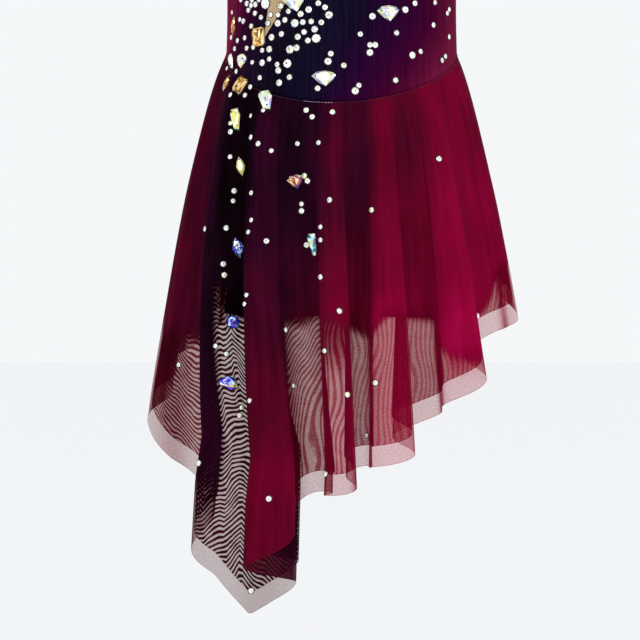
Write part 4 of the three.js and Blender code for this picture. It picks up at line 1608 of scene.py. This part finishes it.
@dataclass
class WaistStitches:
    """The row of small stitches on the seam that holds the skirt to the bodice."""

    figure: Figure
    below: float = 0.9  # under the seam
    pitch: float = 2.5
    long: float = 1.5
    thick: float = 0.35
    near: float = 0.2  # from the figure to a stitch's inner face
    far: float = 0.75  # and to its outer face
    radius: float = 101.0  # mean radius of the waist
    pale_from: float = -18.0  # where the row comes out of the dye pale, in degrees
    pale_to: float = -4.0

    def build(self) -> Pieces:
        """Lays short four-sided bars end to end round the skirt's top."""
        count = int(2 * math.pi * self.radius / self.pitch)
        azimuth = np.arange(count) / count * 2 * np.pi - np.pi
        half = self.long / 2 / self.radius
        corners = []
        for end in (-half, half):
            z = self.figure.seam(azimuth + end) - self.below
            for out, rise in ((self.near, -1), (self.near, 1), (self.far, 1), (self.far, -1)):
                corners.append(self.figure.point(azimuth + end, z + rise * self.thick / 2, out))
        bars = np.stack(corners, axis=1)
        quads = np.array([
            [0, 1, 2, 3], [7, 6, 5, 4], [0, 4, 5, 1], [1, 5, 6, 2], [2, 6, 7, 3], [3, 7, 4, 0],
        ])
        pale = (azimuth > math.radians(self.pale_from)) & (azimuth < math.radians(self.pale_to))
        pieces = {}
        for name, chosen, dark, bright in (
            ("waist_stitches_dark", ~pale, "#2a0c22", "#3c1430"),
            ("waist_stitches_pale", pale, "#8c7c90", "#c9bccb"),
        ):
            points = bars[chosen].reshape(-1, 3)
            start = np.arange(len(points) // 8)[:, None, None] * 8
            faces = (start + quads).reshape(-1, 4)
            thread = Thread(name + "_thread", dark, bright).make()
            pieces[name] = put_mesh(name, points, faces, thread, smooth=False)
        return pieces


# ------------------------------------------------------------------ studio


class SoftBox(NamedTuple):
    """A soft light: where it hangs and its side in metres, and its power in watts."""

    name: str
    place: tuple[float, float, float]
    size: float
    power: float


@dataclass(frozen=True)
class Studio:
    """A plain pale room: seamless floor, even sky, two soft boxes, and the camera."""

    paper: str = "#f5f7f9"
    floor_z: float = -1150.0  # where the wearer would stand
    floor_size: float = 6.0  # metres to each side
    eye_distance: float = 3000.0
    pitch: float = 4.0  # degrees down
    aim: tuple[float, float, float] = (-21.5, 0.0, -605.0)
    picture: float = 640.0  # millimetres across the picture at the dress's middle
    sensor: float = 36.0
    floor_glow: float = 0.84  # with the sky's light the floor is then as bright as the paper
    floor_grey: Colour = (0.16, 0.16, 0.165, 1.0)
    boxes: tuple[SoftBox, ...] = (
        SoftBox("key_box", (-1.1, -2.2, 0.7), 1.0, 28.0),
        SoftBox("side_box", (1.7, -1.5, 0.1), 1.0, 16.0),
    )
    boxes_aim: tuple[float, float, float] = (0.0, 0.0, -0.5)  # metres
    most_layers: int = 20  # of mesh that a ray may pass

    def eye(self) -> Vector:
        """Where the camera stands, in metres."""
        pitch = math.radians(self.pitch)
        back = Vector((0, -math.cos(pitch), math.sin(pitch))) * self.eye_distance
        return (Vector(self.aim) + back) * MM

    def camera(self) -> None:
        """Makes the camera and sets it as the scene's."""
        data = bpy.data.cameras.new("portrait_camera")
        data.sensor_width = self.sensor
        data.lens = self.sensor * self.eye_distance / self.picture
        camera = bpy.data.objects.new("portrait_camera", data)
        camera.location = self.eye()
        camera.rotation_euler = (math.radians(90 - self.pitch), 0, 0)
        bpy.context.scene.collection.objects.link(camera)
        bpy.context.scene.camera = camera

    def world(self) -> None:
        """Makes the sky: the paper's colour where it is seen, softer as a light."""
        world = bpy.data.worlds.new("pale_room")
        bpy.context.scene.world = world
        world.use_nodes = True
        tree = world.node_tree
        tree.nodes.clear()
        paper = linear(self.paper)
        seen = add_node(tree, "Background", {"Color": paper, "Strength": 1.0})
        spot = add_node(tree, "TexCoord").outputs["Generated"]
        high = add_node(tree, "SeparateXYZ", {0: spot}).outputs[2]
        level = add_node(tree, "MapRange", {0: high, 1: -0.7, 2: 0.9, 3: 0.5, 4: 0.8})
        lit = add_node(tree, "Background", {"Color": paper, "Strength": level})
        path = add_node(tree, "LightPath").outputs["Is Camera Ray"]
        both = add_node(tree, "MixShader", {0: path, 1: lit, 2: seen})
        add_node(tree, "OutputWorld", {"Surface": both})

    def floor(self) -> None:
        """Lays the pale floor, as bright as the paper, with a trace of shadow."""
        material = bpy.data.materials.new("pale_floor")
        material.use_nodes = True
        tree = material.node_tree
        tree.nodes.clear()
        paper = linear(self.paper)
        glow = add_node(tree, "Emission", {"Color": paper, "Strength": self.floor_glow})
        face = add_node(tree, "BsdfDiffuse", {"Color": self.floor_grey})
        both = add_node(tree, "AddShader", {0: glow, 1: face})
        add_node(tree, "OutputMaterial", {"Surface": both})
        mesh = bpy.data.meshes.new("floor")
        size, z = self.floor_size, self.floor_z * MM
        corners = [(-size, -size, z), (size, -size, z), (size, size, z), (-size, size, z)]
        mesh.from_pydata(corners, [], [(0, 1, 2, 3)])
        mesh.materials.append(material)
        floor = bpy.data.objects.new("floor", mesh)
        bpy.context.scene.collection.objects.link(floor)

    def light(self, box: SoftBox) -> None:
        """Hangs one soft box that looks at the dress's middle."""
        data = bpy.data.lights.new(box.name, "AREA")
        data.size = box.size
        data.energy = box.power
        lamp = bpy.data.objects.new(box.name, data)
        lamp.location = box.place
        aim = Vector(self.boxes_aim) - Vector(box.place)
        lamp.rotation_euler = aim.to_track_quat("-Z", "Y").to_euler()
        bpy.context.scene.collection.objects.link(lamp)

    def build(self) -> None:
        """Sets the whole studio up."""
        self.camera()
        self.world()
        self.floor()
        for box in self.boxes:
            self.light(box)
        scene = bpy.context.scene
        scene.view_settings.view_transform = "Standard"
        scene.view_settings.look = "None"
        scene.cycles.transparent_max_bounces = self.most_layers


def main() -> None:
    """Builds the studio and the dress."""
    logging.basicConfig(level=logging.INFO, format="%(name)s %(message)s")
    studio = Studio()
    studio.build()
    figure = Figure()
    pieces: Pieces = {}
    for part in (Bodice(figure), Briefs(figure), Skirt(figure), WaistStitches(figure)):
        pieces.update(part.build())
    bpy.context.view_layer.update()
    carriers = (
        "bodice_front_cloth", "bodice_gore_cloth", "bodice_back_cloth",
        "skirt_outer_front_mesh", "skirt_outer_back_mesh",
    )
    pieces.update(Stones(studio.eye(), [pieces[name] for name in carriers]).build())


if __name__ == "__main__":
    main()
